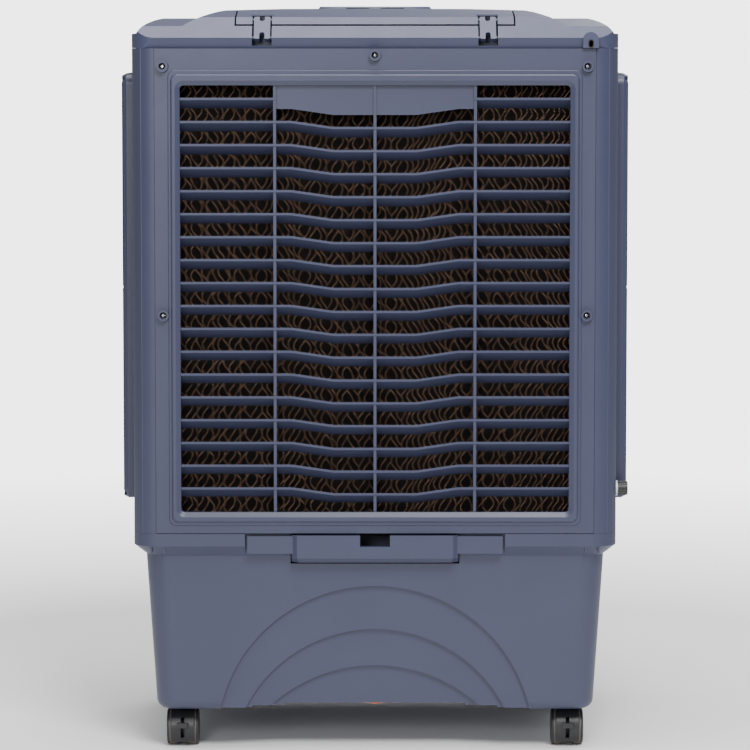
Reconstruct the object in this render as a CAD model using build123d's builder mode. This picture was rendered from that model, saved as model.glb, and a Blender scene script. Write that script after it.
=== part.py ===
"""Portable evaporative cooler: a tub on casters, a cabinet with three wet pads, a fan and a hinged lid.

Frame: millimetres, +Z up, -Y the air outlet (front), +Y the big intake grille (rear).
The origin is on the floor, under the middle of the cabinet.
"""

from build123d import *
from math import atan, atan2, cos, degrees, radians, sin
import os

os.makedirs("parts", exist_ok=True)

# ---- Driving dimensions -------------------------------------------------------------------------
CABINET_W = 618.0  # X, across the cabinet
CABINET_D = 450.0  # Y, front plane to rear plane
CORNER_R = 30.0  # upright corners
WALL = 3.0
TANK_FLOOR_Z = 52.0
RIM_LOW_Z = 268.0
RIM_Z = 284.0  # tub rim, where the cabinet stands
SHELL_TOP_Z = 902.0  # cabinet top, where the top cover starts
REAR_Y = CABINET_D / 2
SIDE_X = CABINET_W / 2
RUNNING = 0.06  # radial clearance of a pin in its hole

# Panels that fill the rear and the front between the corner columns.
PANEL_HALF = 279.0
PANEL_LOW_Z, PANEL_TOP_Z = RIM_Z + 0.8, SHELL_TOP_Z - 0.6
PANEL_T = 5.0
FRAME_Y = REAR_Y - PANEL_T - 0.4  # face of the cabinet frame that a panel rests on
FRAME_T = 5.0

# Wet pads.
PAD_T = 36.0
PAD_TOP_Z = 862.0
REAR_PAD_HALF, REAR_PAD_LOW_Z = 255.0, 306.0
REAR_PAD_Y = 198.0  # outer face of the rear pad
SIDE_PAD_FRONT, SIDE_PAD_BACK, SIDE_PAD_LOW_Z = -138.0, 158.0, 333.0
SIDE_PAD_X = 299.0  # outer face of a side pad
NET_T = 1.0

# Fan.
FAN_Z, FAN_R = 632.0, 188.0
SHROUD_Y, SHROUD_T = -147.0, 3.0
SHAFT_R = 5.0
MOTOR_R, MOTOR_FRONT_Y, MOTOR_BACK_Y = 56.0, -72.0, 22.0

# Air outlet.
BEZEL_Y = -230.0  # front face
DUCT_HALF, DUCT_LOW_Z, DUCT_TOP_Z = 234.0, 478.0, 782.0
DUCT_WALL = 5.0
LOUVRE_COUNT, LOUVRE_Y, LOUVRE_CHORD = 6, -207.0, 30.0
VANE_COUNT, VANE_Y, VANE_CHORD = 5, -176.0, 26.0
BLADE_T = 2.6
PIVOT_R, PIVOT_LEN = 2.0, 3.6
CRANK = 11.0  # distance from a blade's pivot to its link pin
CRANK_PIN_R = 1.4

# Controls.
KNOB_X, KNOB_Z, KNOB_R = (-150.0, 0.0, 150.0), 848.0, 21.0
CONTROL_Y = -216.0  # face of the recessed control panel

# Lid hinge: two links, each with a pin in the cover and a pin in the lid.
LINK_X, LINK_W = 143.0, 20.6
LOW_PIN_Y, LOW_PIN_Z = 214.0, 914.5
TOP_PIN_Y, TOP_PIN_Z = 193.0, 937.0
LINK_PIN_R, LINK_T = 2.2, 6.0
LID_HALF, LID_FRONT_Y, LID_LOW_Z = 176.0, -105.0, 932.0
LID_SEAM = 2.0  # open line round the lid

# Casters.
CASTER_X, STEM_Y = 249.0, 138.0
STEM_R, STEM_TOP_Z = 5.5, 76.0
WHEEL_R, TREAD_W, WHEEL_GAP = 23.5, 9.5, 15.0
DISC_R, DISC_T = 22.6, 3.5  # hub disc outside each tread
TRAIL = 20.0  # axle behind the stem


def save(piece, name):
    """Labels a finished piece and writes it as one STEP file."""
    piece.part.label = name
    export_step(piece.part, f"parts/{name}.step")


def box_between(low, high, mode=Mode.ADD):
    """Adds or cuts the box between two opposite corners."""
    middle = tuple((a + b) / 2 for a, b in zip(low, high))
    with Locations(middle):
        Box(*(b - a for a, b in zip(low, high)), mode=mode)


def rod_along_x(radius, x_low, x_high, y, z, mode=Mode.ADD):
    with Locations(((x_low + x_high) / 2, y, z)):
        Cylinder(radius, x_high - x_low, rotation=(0, 90, 0), mode=mode)


def rod_along_y(radius, y_low, y_high, x, z, mode=Mode.ADD):
    with Locations((x, (y_low + y_high) / 2, z)):
        Cylinder(radius, y_high - y_low, rotation=(90, 0, 0), mode=mode)


def rod_along_z(radius, z_low, z_high, x, y, mode=Mode.ADD):
    with Locations((x, y, (z_low + z_high) / 2)):
        Cylinder(radius, z_high - z_low, mode=mode)


# ---- Water tub ----------------------------------------------------------------------------------
NECK_W, NECK_D = 590.0, 426.0  # outside, just under the rim
BASE_W, BASE_D = 562.0, 404.0  # outside, at the floor
BASE_R = 24.0
FLOOR_T = 3.5
ARCHES = ((215.0, 203.0), (157.5, 186.0), (109.0, 197.0))  # top height and radius, outside first
ARCH_STEP = 5.0  # each arch is set this much deeper than the one outside it
FLOOR_LIFTS = ((198.0, 2.5), (158.0, 5.0), (116.0, 7.5))  # half width and rise of the floor steps
MOUTH_HALF, MOUTH_LOW_Z = 108.0, 244.0  # filling mouth in the rear wall
RECESS_HALF = 166.0  # hollow in the rim behind the drawer front
RECESS_DEEP = 9.0
DRAIN_R, DRAIN_Y = 6.0, 166.0
GUSSET_IN_X, GUSSET_OUT_X = 269.0, 286.0
DRAIN_Z = TANK_FLOOR_Z + FLOOR_LIFTS[-1][1]
wall_lean = atan2((NECK_D - BASE_D) / 2, RIM_LOW_Z - TANK_FLOOR_Z)
rear_wall = Plane(
    origin=(0, BASE_D / 2, TANK_FLOOR_Z),
    x_dir=(-1, 0, 0),
    z_dir=(0, cos(wall_lean), -sin(wall_lean)),
)


def arches_and_steps(grow, depth_add, rise_add):
    """Cuts the three nested arches of the rear wall, and the floor steps under them."""
    for index, (top, radius) in enumerate(ARCHES):
        with Locations(rear_wall.location * Pos(0, top - radius - TANK_FLOOR_Z, 0)):
            Cylinder(radius + grow, 2 * (ARCH_STEP * (index + 1) + depth_add), mode=Mode.SUBTRACT)
    for half, rise in FLOOR_LIFTS:
        box_between(
            (-half - grow, -BASE_D, TANK_FLOOR_Z - 10),
            (half + grow, BASE_D, TANK_FLOOR_Z + rise + rise_add),
            mode=Mode.SUBTRACT,
        )


with BuildPart() as tub_inside:
    with BuildSketch(Plane.XY.offset(TANK_FLOOR_Z + FLOOR_T)):
        RectangleRounded(BASE_W - 2 * WALL, BASE_D - 2 * WALL, BASE_R - WALL)
    with BuildSketch(Plane.XY.offset(RIM_Z + 1)):
        RectangleRounded(NECK_W - 2 * WALL, NECK_D - 2 * WALL, CORNER_R - WALL)
    loft(ruled=True)
    fillet(tub_inside.faces().sort_by(Axis.Z)[0].edges(), 10)
    arches_and_steps(WALL, WALL, FLOOR_T)

with BuildPart() as water_tank:
    with BuildSketch(Plane.XY.offset(TANK_FLOOR_Z)):
        RectangleRounded(BASE_W, BASE_D, BASE_R)
    with BuildSketch(Plane.XY.offset(RIM_LOW_Z)):
        RectangleRounded(NECK_W, NECK_D, CORNER_R)
    loft(ruled=True)
    fillet(water_tank.faces().sort_by(Axis.Z)[0].edges(), 13)
    # The rim stands out on a slanted underside.
    with BuildSketch(Plane.XY.offset(RIM_LOW_Z - 14)):
        RectangleRounded(NECK_W - 2, NECK_D - 2, CORNER_R)
    with BuildSketch(Plane.XY.offset(RIM_LOW_Z)):
        RectangleRounded(CABINET_W, CABINET_D, CORNER_R)
    loft(ruled=True)
    with BuildSketch(Plane.XY.offset(RIM_LOW_Z)):
        RectangleRounded(CABINET_W, CABINET_D, CORNER_R)
    extrude(amount=RIM_Z - RIM_LOW_Z)
    arches_and_steps(0, 0, 0)
    add(tub_inside.part, mode=Mode.SUBTRACT)
    # Caster sockets stand up from the floor and are drilled from below.
    for x in (-CASTER_X, CASTER_X):
        for y in (-STEM_Y, STEM_Y):
            rod_along_z(STEM_R + 5, TANK_FLOOR_Z + 1, STEM_TOP_Z + 5, x, y)
            rod_along_z(STEM_R + RUNNING, 0, STEM_TOP_Z + 0.4, x, y, mode=Mode.SUBTRACT)
    # Small gussets under the rim, either side of each rear corner.
    for x in (-GUSSET_OUT_X, -GUSSET_IN_X, GUSSET_IN_X, GUSSET_OUT_X):
        box_between((x - 1.2, NECK_D / 2 - 6, RIM_LOW_Z - 9), (x + 1.2, REAR_Y - 3, RIM_LOW_Z + 1))
    # Filling mouth, with the hollow in the rim that the drawer front closes.
    box_between(
        (-MOUTH_HALF, REAR_Y - 60, MOUTH_LOW_Z), (MOUTH_HALF, REAR_Y + 9, RIM_Z + 1), Mode.SUBTRACT
    )
    box_between(
        (-RECESS_HALF, REAR_Y - RECESS_DEEP, MOUTH_LOW_Z + 2),
        (RECESS_HALF, REAR_Y + 9, RIM_Z + 1),
        Mode.SUBTRACT,
    )
    rod_along_z(DRAIN_R, 0, DRAIN_Z + 10, 0, DRAIN_Y, mode=Mode.SUBTRACT)
save(water_tank, "water_tank")

with BuildPart() as drain_plug:
    rod_along_z(6.6, DRAIN_Z - 4.4, DRAIN_Z - 0.4, 0, DRAIN_Y)
    rod_along_z(DRAIN_R - RUNNING, DRAIN_Z - 1, DRAIN_Z + 7, 0, DRAIN_Y)
    box_between((-14, DRAIN_Y - 1.5, DRAIN_Z - 4), (14, DRAIN_Y + 1.5, DRAIN_Z - 1))
    chamfer(drain_plug.faces().sort_by(Axis.Z)[-1].edges(), 1.2)
save(drain_plug, "drain_plug")

# ---- Filling drawer -----------------------------------------------------------------------------
DRAWER_HALF, DRAWER_LOW_Z, DRAWER_TOP_Z = 163.0, 258.5, 282.4
SCOOP_HALF, SCOOP_LOW_Z = 106.5, 247.0
NOTCH_HALF, NOTCH_LOW_Z = 19.0, 268.0
DRAWER_BACK_Y = 150.0

with BuildPart() as fill_drawer:
    with BuildSketch(Plane.XY.offset(SCOOP_LOW_Z)):
        with BuildLine():
            Polyline(
                (-SCOOP_HALF, DRAWER_BACK_Y),
                (-SCOOP_HALF, REAR_Y - 2),
                (-SCOOP_HALF + 7, REAR_Y + 5),
                (SCOOP_HALF - 7, REAR_Y + 5),
                (SCOOP_HALF, REAR_Y - 2),
                (SCOOP_HALF, DRAWER_BACK_Y),
                close=True,
            )
        make_face()
    extrude(amount=DRAWER_TOP_Z - SCOOP_LOW_Z)
    front_low_edges = fill_drawer.edges().filter_by(lambda e: e.center().Y > REAR_Y - 4)
    chamfer(front_low_edges.group_by(Axis.Z)[0], length=6)
    box_between(
        (-DRAWER_HALF, REAR_Y - 4, DRAWER_LOW_Z), (DRAWER_HALF, REAR_Y - 0.5, DRAWER_TOP_Z - 1.4)
    )
    box_between(
        (-SCOOP_HALF + 2.5, DRAWER_BACK_Y + 2.5, SCOOP_LOW_Z + 2.5),
        (SCOOP_HALF - 2.5, REAR_Y - 4, DRAWER_TOP_Z + 1),
        Mode.SUBTRACT,
    )
    box_between(
        (-NOTCH_HALF, REAR_Y - 9, NOTCH_LOW_Z),
        (NOTCH_HALF, REAR_Y + 9, DRAWER_TOP_Z + 1),
        Mode.SUBTRACT,
    )
save(fill_drawer, "fill_drawer")

# ---- Cabinet ------------------------------------------------------------------------------------
SIDE_GRILLE_FRONT, SIDE_GRILLE_BACK = -146.0, 168.0
SIDE_GRILLE_LOW_Z, SIDE_GRILLE_TOP_Z = 322.0, 870.0
REAR_SCREWS = ((-268.6, 879.0), (268.6, 879.0), (0.0, 893.0), (-268.6, 563.6), (268.6, 563.6))
SIDE_SCREWS = tuple((y, z) for y in (-139.0, 161.0) for z in (331.0, 596.0, 861.0))
SCREW_R, SCREW_LEN = 2.0, 11.0
SCREW_HEAD_R = 3.2
INLET_Y, INLET_Z = 184.0, 338.0
INLET_R = 6.0


def side_box(side, low, high, mode=Mode.ADD):
    """A box given for the +X side, placed on that side or on the -X side."""
    x_low, x_high = sorted((side * low[0], side * high[0]))
    box_between((x_low, low[1], low[2]), (x_high, high[1], high[2]), mode)


with BuildPart() as cabinet:
    with BuildSketch(Plane.XY.offset(RIM_Z + 0.2)):
        RectangleRounded(CABINET_W, CABINET_D, CORNER_R)
        RectangleRounded(CABINET_W - 2 * WALL, CABINET_D - 2 * WALL, CORNER_R - WALL, mode=Mode.SUBTRACT)
    extrude(amount=SHELL_TOP_Z - RIM_Z - 0.4)
    # Flange that stands on the tub rim.
    with BuildSketch(Plane.XY.offset(RIM_Z + 0.2)):
        RectangleRounded(CABINET_W - 2, CABINET_D - 2, CORNER_R - 1)
        Rectangle(CABINET_W - 52, CABINET_D - 72, mode=Mode.SUBTRACT)
    extrude(amount=3)
    # Skin cut away between the columns, with a sunken frame for the rear and front panels.
    for turn in (1, -1):
        y_low, y_high = sorted((turn * FRAME_Y, turn * (REAR_Y + 5)))
        box_between(
            (-PANEL_HALF - 0.4, y_low, RIM_Z), (PANEL_HALF + 0.4, y_high, SHELL_TOP_Z), Mode.SUBTRACT
        )
        y_low, y_high = sorted((turn * FRAME_Y, turn * (FRAME_Y - FRAME_T)))
        box_between((-SIDE_X + 12, y_low, RIM_Z + 0.2), (SIDE_X - 12, y_high, SHELL_TOP_Z - 0.2))
        y_low, y_high = sorted((turn * (FRAME_Y + WALL), turn * (FRAME_Y - FRAME_T)))
        for side in (-1, 1):
            side_box(
                side,
                (PANEL_HALF + 0.4, y_low, RIM_Z + 0.2),
                (PANEL_HALF + 4, y_high, SHELL_TOP_Z - 0.2),
            )
    box_between((-258, 200, REAR_PAD_LOW_Z - 3), (258, REAR_Y, 866), Mode.SUBTRACT)
    box_between((-DUCT_HALF - 7, -REAR_Y, 470), (DUCT_HALF + 7, -200, 896), Mode.SUBTRACT)
    # Inner ledges that the pads stand on.
    box_between(
        (-REAR_PAD_HALF, REAR_PAD_Y - PAD_T, REAR_PAD_LOW_Z - 6),
        (REAR_PAD_HALF, FRAME_Y - 1, REAR_PAD_LOW_Z),
    )
    for side in (-1, 1):
        side_box(
            side,
            (SIDE_PAD_X - PAD_T, SIDE_PAD_FRONT, SIDE_PAD_LOW_Z - 3),
            (SIDE_X - 1, SIDE_PAD_BACK, SIDE_PAD_LOW_Z),
        )
        side_box(
            side,
            (SIDE_X - 20, SIDE_PAD_FRONT + 2, 340),
            (SIDE_X + 5, SIDE_PAD_BACK - 2, 854),
            Mode.SUBTRACT,
        )
        for y, z in SIDE_SCREWS:
            rod_along_x(SCREW_R, *sorted((side * 295, side * 315)), y, z, mode=Mode.SUBTRACT)
    for x, z in REAR_SCREWS:
        rod_along_y(SCREW_R, 200, 240, x, z, mode=Mode.SUBTRACT)
    rod_along_x(INLET_R, -SIDE_X - 5, -SIDE_X + 10, INLET_Y, INLET_Z, mode=Mode.SUBTRACT)
save(cabinet, "cabinet")

# ---- Rear grille --------------------------------------------------------------------------------
OPEN_HALF, OPEN_LOW_Z, OPEN_TOP_Z = 247.0, 312.0, 855.0
BEAD_HALF, BEAD_LOW_Z, BEAD_TOP_Z = 258.5, 299.5, 869.5
BEAD_PROUD, BEAD_FLARE, BEAD_FLARE_DEEP = 4.5, 6.0, 3.6
LEDGE_HALF, LEDGE_LOW_Z, LEDGE_TOP_Z, LEDGE_PROUD = 262.0, 295.0, 874.5, 1.6
BOSS_R, BOSS_PROUD = 7.2, 6.5
BORE_R = 4.5
SLAT_COUNT, SLAT_TOP_Z, SLAT_PITCH = 18, 838.0, 29.15
SLAT_T, SLAT_DEPTH, SLAT_DROP = 3.0, 20.0, 12.9
DIP, DIP_START, DIP_END = 7.6, 53.0, 106.0  # the middle of each slat hangs lower
BAR_X, BAR_W = 127.0, 3.8
BLANK_LOW_Z = SLAT_TOP_Z - 12.8  # lower lip of the blank plate


def dip_line(z, half):
    """The bent line of a slat edge: flat, down a slope, flat across the middle and up again."""
    FilletPolyline(
        (-half, z),
        (-DIP_END, z),
        (-DIP_START, z - DIP),
        (DIP_START, z - DIP),
        (DIP_END, z),
        (half, z),
        radius=30,
    )


with BuildPart() as rear_grille:
    with BuildSketch(Plane.XZ.offset(-REAR_Y)):
        with Locations((0, (PANEL_LOW_Z + PANEL_TOP_Z) / 2)):
            Rectangle(2 * PANEL_HALF, PANEL_TOP_Z - PANEL_LOW_Z)
        with Locations((0, (OPEN_LOW_Z + OPEN_TOP_Z) / 2)):
            RectangleRounded(2 * OPEN_HALF, OPEN_TOP_Z - OPEN_LOW_Z, 5, mode=Mode.SUBTRACT)
    extrude(amount=PANEL_T)
    # Low ledge, and on it a rounded bead that flares into the opening.
    for half, low_z, top_z, proud, soft in (
        (LEDGE_HALF, LEDGE_LOW_Z, LEDGE_TOP_Z, LEDGE_PROUD, 1.2),
        (BEAD_HALF, BEAD_LOW_Z, BEAD_TOP_Z, BEAD_PROUD, 2.6),
    ):
        with BuildSketch(Plane.XZ.offset(-REAR_Y)):
            with Locations((0, (low_z + top_z) / 2)):
                RectangleRounded(2 * half, top_z - low_z, 9)
            with Locations((0, (OPEN_LOW_Z + OPEN_TOP_Z) / 2)):
                RectangleRounded(2 * OPEN_HALF, OPEN_TOP_Z - OPEN_LOW_Z, 5, mode=Mode.SUBTRACT)
        extrude(amount=-proud)
        proud_face = rear_grille.faces().sort_by(Axis.Y)[-1]
        fillet(proud_face.outer_wire().edges(), soft)
    with BuildSketch(Plane.XZ.offset(-REAR_Y - BEAD_PROUD)):
        with Locations((0, (OPEN_LOW_Z + OPEN_TOP_Z) / 2)):
            RectangleRounded(
                2 * (OPEN_HALF + BEAD_FLARE), OPEN_TOP_Z - OPEN_LOW_Z + 2 * BEAD_FLARE, 5 + BEAD_FLARE
            )
    extrude(
        amount=BEAD_FLARE_DEEP, taper=degrees(atan(BEAD_FLARE / BEAD_FLARE_DEEP)), mode=Mode.SUBTRACT
    )
    # Blank plate over the two middle columns, with the same dip in its lower lip.
    with BuildSketch(Plane.XZ.offset(-REAR_Y + 4)):
        with BuildLine():
            dip_line(BLANK_LOW_Z, BAR_X)
            Polyline(
                (BAR_X, BLANK_LOW_Z),
                (BAR_X, OPEN_TOP_Z + 2),
                (-BAR_X, OPEN_TOP_Z + 2),
                (-BAR_X, BLANK_LOW_Z),
            )
        make_face()
    extrude(amount=3)
    # Outer columns of slats, all rows; the plain strips slope down going inwards.
    with BuildSketch(Plane.XZ.offset(-REAR_Y + 0.6)):
        for row in range(SLAT_COUNT):
            z = SLAT_TOP_Z - row * SLAT_PITCH
            for middle in (-(OPEN_HALF + BAR_X) / 2, (OPEN_HALF + BAR_X) / 2):
                with Locations((middle, z)):
                    Rectangle(OPEN_HALF - BAR_X + 2, SLAT_T)
    extrude(amount=SLAT_DEPTH, dir=(0, -SLAT_DEPTH, -SLAT_DROP))
    # Middle slats, with the dip.
    for row in range(1, SLAT_COUNT):
        z = SLAT_TOP_Z - row * SLAT_PITCH
        with BuildSketch(Plane.XZ.offset(-REAR_Y + 0.6)):
            with BuildLine():
                dip_line(z + SLAT_T / 2, BAR_X)
                dip_line(z - SLAT_T / 2, BAR_X)
                for x in (-BAR_X, BAR_X):
                    Line((x, z - SLAT_T / 2), (x, z + SLAT_T / 2))
            make_face()
        extrude(amount=SLAT_DEPTH, dir=(0, -SLAT_DEPTH, -SLAT_DROP))
    for x in (-BAR_X, 0, BAR_X):
        box_between(
            (x - BAR_W / 2, REAR_Y - SLAT_DEPTH - 0.6, OPEN_LOW_Z - 1),
            (x + BAR_W / 2, REAR_Y - 1.4, OPEN_TOP_Z + 1),
        )
    for x, z in REAR_SCREWS:
        rod_along_y(BOSS_R, REAR_Y - 4, REAR_Y + BOSS_PROUD, x, z)
        rod_along_y(BORE_R, REAR_Y - 2, REAR_Y + BOSS_PROUD + 1, x, z, mode=Mode.SUBTRACT)
        rod_along_y(SCREW_R, FRAME_Y - 9, REAR_Y, x, z, mode=Mode.SUBTRACT)
save(rear_grille, "rear_grille")

# ---- Side grilles -------------------------------------------------------------------------------
SIDE_PROUD = 15.0
SIDE_SLAT_COUNT, SIDE_SLAT_PITCH = 17, 29.15
side_middle_y = (SIDE_GRILLE_FRONT + SIDE_GRILLE_BACK) / 2
side_middle_z = (SIDE_GRILLE_LOW_Z + SIDE_GRILLE_TOP_Z) / 2
SIDE_OPEN_FRONT, SIDE_OPEN_BACK = SIDE_GRILLE_FRONT + 16, SIDE_GRILLE_BACK - 16
SIDE_OPEN_LOW_Z, SIDE_OPEN_TOP_Z = SIDE_GRILLE_LOW_Z + 20, SIDE_GRILLE_TOP_Z - 20

with BuildPart() as right_grille:
    with BuildSketch(Plane.YZ.offset(SIDE_X + 0.3)):
        with Locations((side_middle_y, side_middle_z)):
            RectangleRounded(
                SIDE_GRILLE_BACK - SIDE_GRILLE_FRONT, SIDE_GRILLE_TOP_Z - SIDE_GRILLE_LOW_Z, 14
            )
    extrude(amount=SIDE_PROUD)
    chamfer(right_grille.faces().sort_by(Axis.X)[-1].edges(), 6, 3)
    box_between(
        (SIDE_X, SIDE_OPEN_FRONT, SIDE_OPEN_LOW_Z),
        (SIDE_X + SIDE_PROUD + 1, SIDE_OPEN_BACK, SIDE_OPEN_TOP_Z),
        Mode.SUBTRACT,
    )
    with BuildSketch(Plane.YZ.offset(SIDE_X + SIDE_PROUD - 2)):
        for row in range(SIDE_SLAT_COUNT):
            z = SIDE_OPEN_TOP_Z - 17 - row * SIDE_SLAT_PITCH
            with Locations(((SIDE_OPEN_FRONT + SIDE_OPEN_BACK) / 2, z)):
                Rectangle(SIDE_OPEN_BACK - SIDE_OPEN_FRONT + 2, SLAT_T)
    extrude(amount=19, dir=(-19, 0, -SLAT_DROP))
    for y in (-62, 10, 82):
        box_between(
            (SIDE_X - 4, y - BAR_W / 2, SIDE_OPEN_LOW_Z - 1),
            (SIDE_X + SIDE_PROUD - 3, y + BAR_W / 2, SIDE_OPEN_TOP_Z + 1),
        )
    for y, z in SIDE_SCREWS:
        rod_along_x(SCREW_R, SIDE_X - 5, SIDE_X + 30, y, z, mode=Mode.SUBTRACT)
        rod_along_x(BORE_R, SIDE_X + 4, SIDE_X + 30, y, z, mode=Mode.SUBTRACT)
save(right_grille, "right_grille")

with BuildPart() as left_grille:
    mirror(right_grille.part, about=Plane.YZ)
save(left_grille, "left_grille")


# ---- Screws -------------------------------------------------------------------------------------
with BuildPart() as one_screw:
    # Head towards +Z, seat at z = 0.
    with BuildSketch(Plane.XZ):
        with BuildLine():
            Polyline(
                (0, -SCREW_LEN), (SCREW_R * 0.4, -SCREW_LEN), (SCREW_R, -SCREW_LEN + 3), (SCREW_R, 0),
                (SCREW_HEAD_R, 0), (SCREW_HEAD_R, 1.0),
            )
            ThreePointArc((SCREW_HEAD_R, 1.0), (SCREW_HEAD_R * 0.62, 2.0), (0, 2.3))
            Line((0, 2.3), (0, -SCREW_LEN))
        make_face()
    revolve(axis=Axis.Z)
    for turn in (0, 90):
        with Locations(Location((0, 0, 2.0), (0, 0, turn))):
            Box(3.6, 0.8, 1.6, mode=Mode.SUBTRACT)

with BuildPart() as grille_screws:
    for x, z in REAR_SCREWS:
        add(one_screw.part.moved(Location((x, REAR_Y - 2, z), (-90, 0, 0))))
    for y, z in SIDE_SCREWS:
        add(one_screw.part.moved(Location((SIDE_X + 4, y, z), (0, 90, 0))))
        add(one_screw.part.moved(Location((-SIDE_X - 4, y, z), (0, -90, 0))))
save(grille_screws, "grille_screws")

# ---- Nets and pads ------------------------------------------------------------------------------
REAR_NET_Y = REAR_PAD_Y + 0.4

with BuildPart() as rear_net:
    box_between(
        (-REAR_PAD_HALF, REAR_NET_Y, REAR_PAD_LOW_Z + 0.4),
        (REAR_PAD_HALF, REAR_NET_Y + NET_T, PAD_TOP_Z),
    )
save(rear_net, "rear_net")

with BuildPart() as side_nets:
    for side in (-1, 1):
        side_box(
            side,
            (SIDE_PAD_X + 0.4, SIDE_PAD_FRONT, SIDE_PAD_LOW_Z + 0.4),
            (SIDE_PAD_X + 0.4 + NET_T, SIDE_PAD_BACK, PAD_TOP_Z),
        )
save(side_nets, "side_nets")

with BuildPart() as rear_pad:
    box_between(
        (-REAR_PAD_HALF, REAR_PAD_Y - PAD_T, REAR_PAD_LOW_Z), (REAR_PAD_HALF, REAR_PAD_Y, PAD_TOP_Z)
    )
save(rear_pad, "rear_pad")

with BuildPart() as side_pads:
    for side in (-1, 1):
        side_box(
            side,
            (SIDE_PAD_X - PAD_T, SIDE_PAD_FRONT, SIDE_PAD_LOW_Z),
            (SIDE_PAD_X, SIDE_PAD_BACK, PAD_TOP_Z),
        )
save(side_pads, "side_pads")

# ---- Top cover and lid --------------------------------------------------------------------------
COVER_WALL = 3.0
BAND_TUCK = 4.0  # the upright band leans in towards its lower edge
DECK_PLATE_Z = 926.0
TRAY_HALF, TRAY_FRONT_Y, TRAY_BACK_Y = 160.0, -90.0, 140.0
GRIP_Y, GRIP_HALF, GRIP_TOP_Z = -72.0, 79.0, 957.0
CORD_X = -272.4  # cord outlet


def cover_form(inset):
    """The closed outer form of the cover and lid together, or the same form drawn in by a wall."""
    half, deep = SIDE_X - inset, REAR_Y - inset
    with BuildPart() as middle:
        with BuildSketch(Plane.XZ.offset(-deep)):
            with BuildLine():
                Polyline((0, SHELL_TOP_Z), (half, SHELL_TOP_Z), (half, 920 - inset), (258, 923 - inset))
                Spline(
                    (258, 923 - inset),
                    (243, 930.5 - inset),
                    (214, 944.5 - inset),
                    (191, 950.5 - inset),
                    tangents=((-1, 0.2), (-1, 0.12)),
                )
                Polyline((191, 950.5 - inset), (120, 952.5 - inset), (0, 953 - inset), (0, SHELL_TOP_Z))
            make_face()
            mirror(about=Plane.YZ)
        extrude(amount=2 * deep)
    with BuildPart() as decks:
        with BuildSketch(Plane.XZ.offset(-deep)):
            with BuildLine():
                Polyline(
                    (0, SHELL_TOP_Z), (half, SHELL_TOP_Z), (half, 914 - inset), (half - 7, 921 - inset),
                )
                ThreePointArc(
                    (half - 7, 921 - inset), (half - 22, 935.5 - inset), (half - 55, 941 - inset)
                )
                Polyline((half - 55, 941 - inset), (0, 941 - inset), (0, SHELL_TOP_Z))
            make_face()
            mirror(about=Plane.YZ)
        extrude(amount=2 * deep)
        with BuildSketch(Plane.YZ.offset(-half)):
            with BuildLine():
                Polyline((0, SHELL_TOP_Z), (deep, SHELL_TOP_Z), (deep, 929 - inset), (210, 929.5 - inset))
                ThreePointArc((210, 929.5 - inset), (140, 937 - inset), (0, 939.5 - inset))
                Line((0, 939.5 - inset), (0, SHELL_TOP_Z))
            make_face()
            mirror(about=Plane.YZ)
        extrude(amount=2 * half, mode=Mode.INTERSECT)
    with BuildPart() as form:
        add(middle.part)
        add(decks.part)
        # Low band, then slanted rear and front faces that roll over onto the gently rising top.
        with BuildSketch(Plane.YZ.offset(-half)):
            with BuildLine():
                Polyline(
                    (0, SHELL_TOP_Z),
                    (deep - BAND_TUCK, SHELL_TOP_Z),
                    (deep, 915),
                    (deep - 29, 941 - inset),
                )
                ThreePointArc(
                    (deep - 29, 941 - inset), (deep - 85, 948.5 - inset), (0, 953.5 - inset)
                )
                Line((0, 953.5 - inset), (0, SHELL_TOP_Z))
            make_face()
            mirror(about=Plane.YZ)
        extrude(amount=2 * half, mode=Mode.INTERSECT)
        with BuildSketch(Plane.XY.offset(SHELL_TOP_Z)):
            RectangleRounded(2 * half, 2 * deep, CORNER_R - inset)
        extrude(amount=80, mode=Mode.INTERSECT)
    return form.part


cover_outside = cover_form(0)
cover_inside = cover_form(COVER_WALL)

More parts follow.
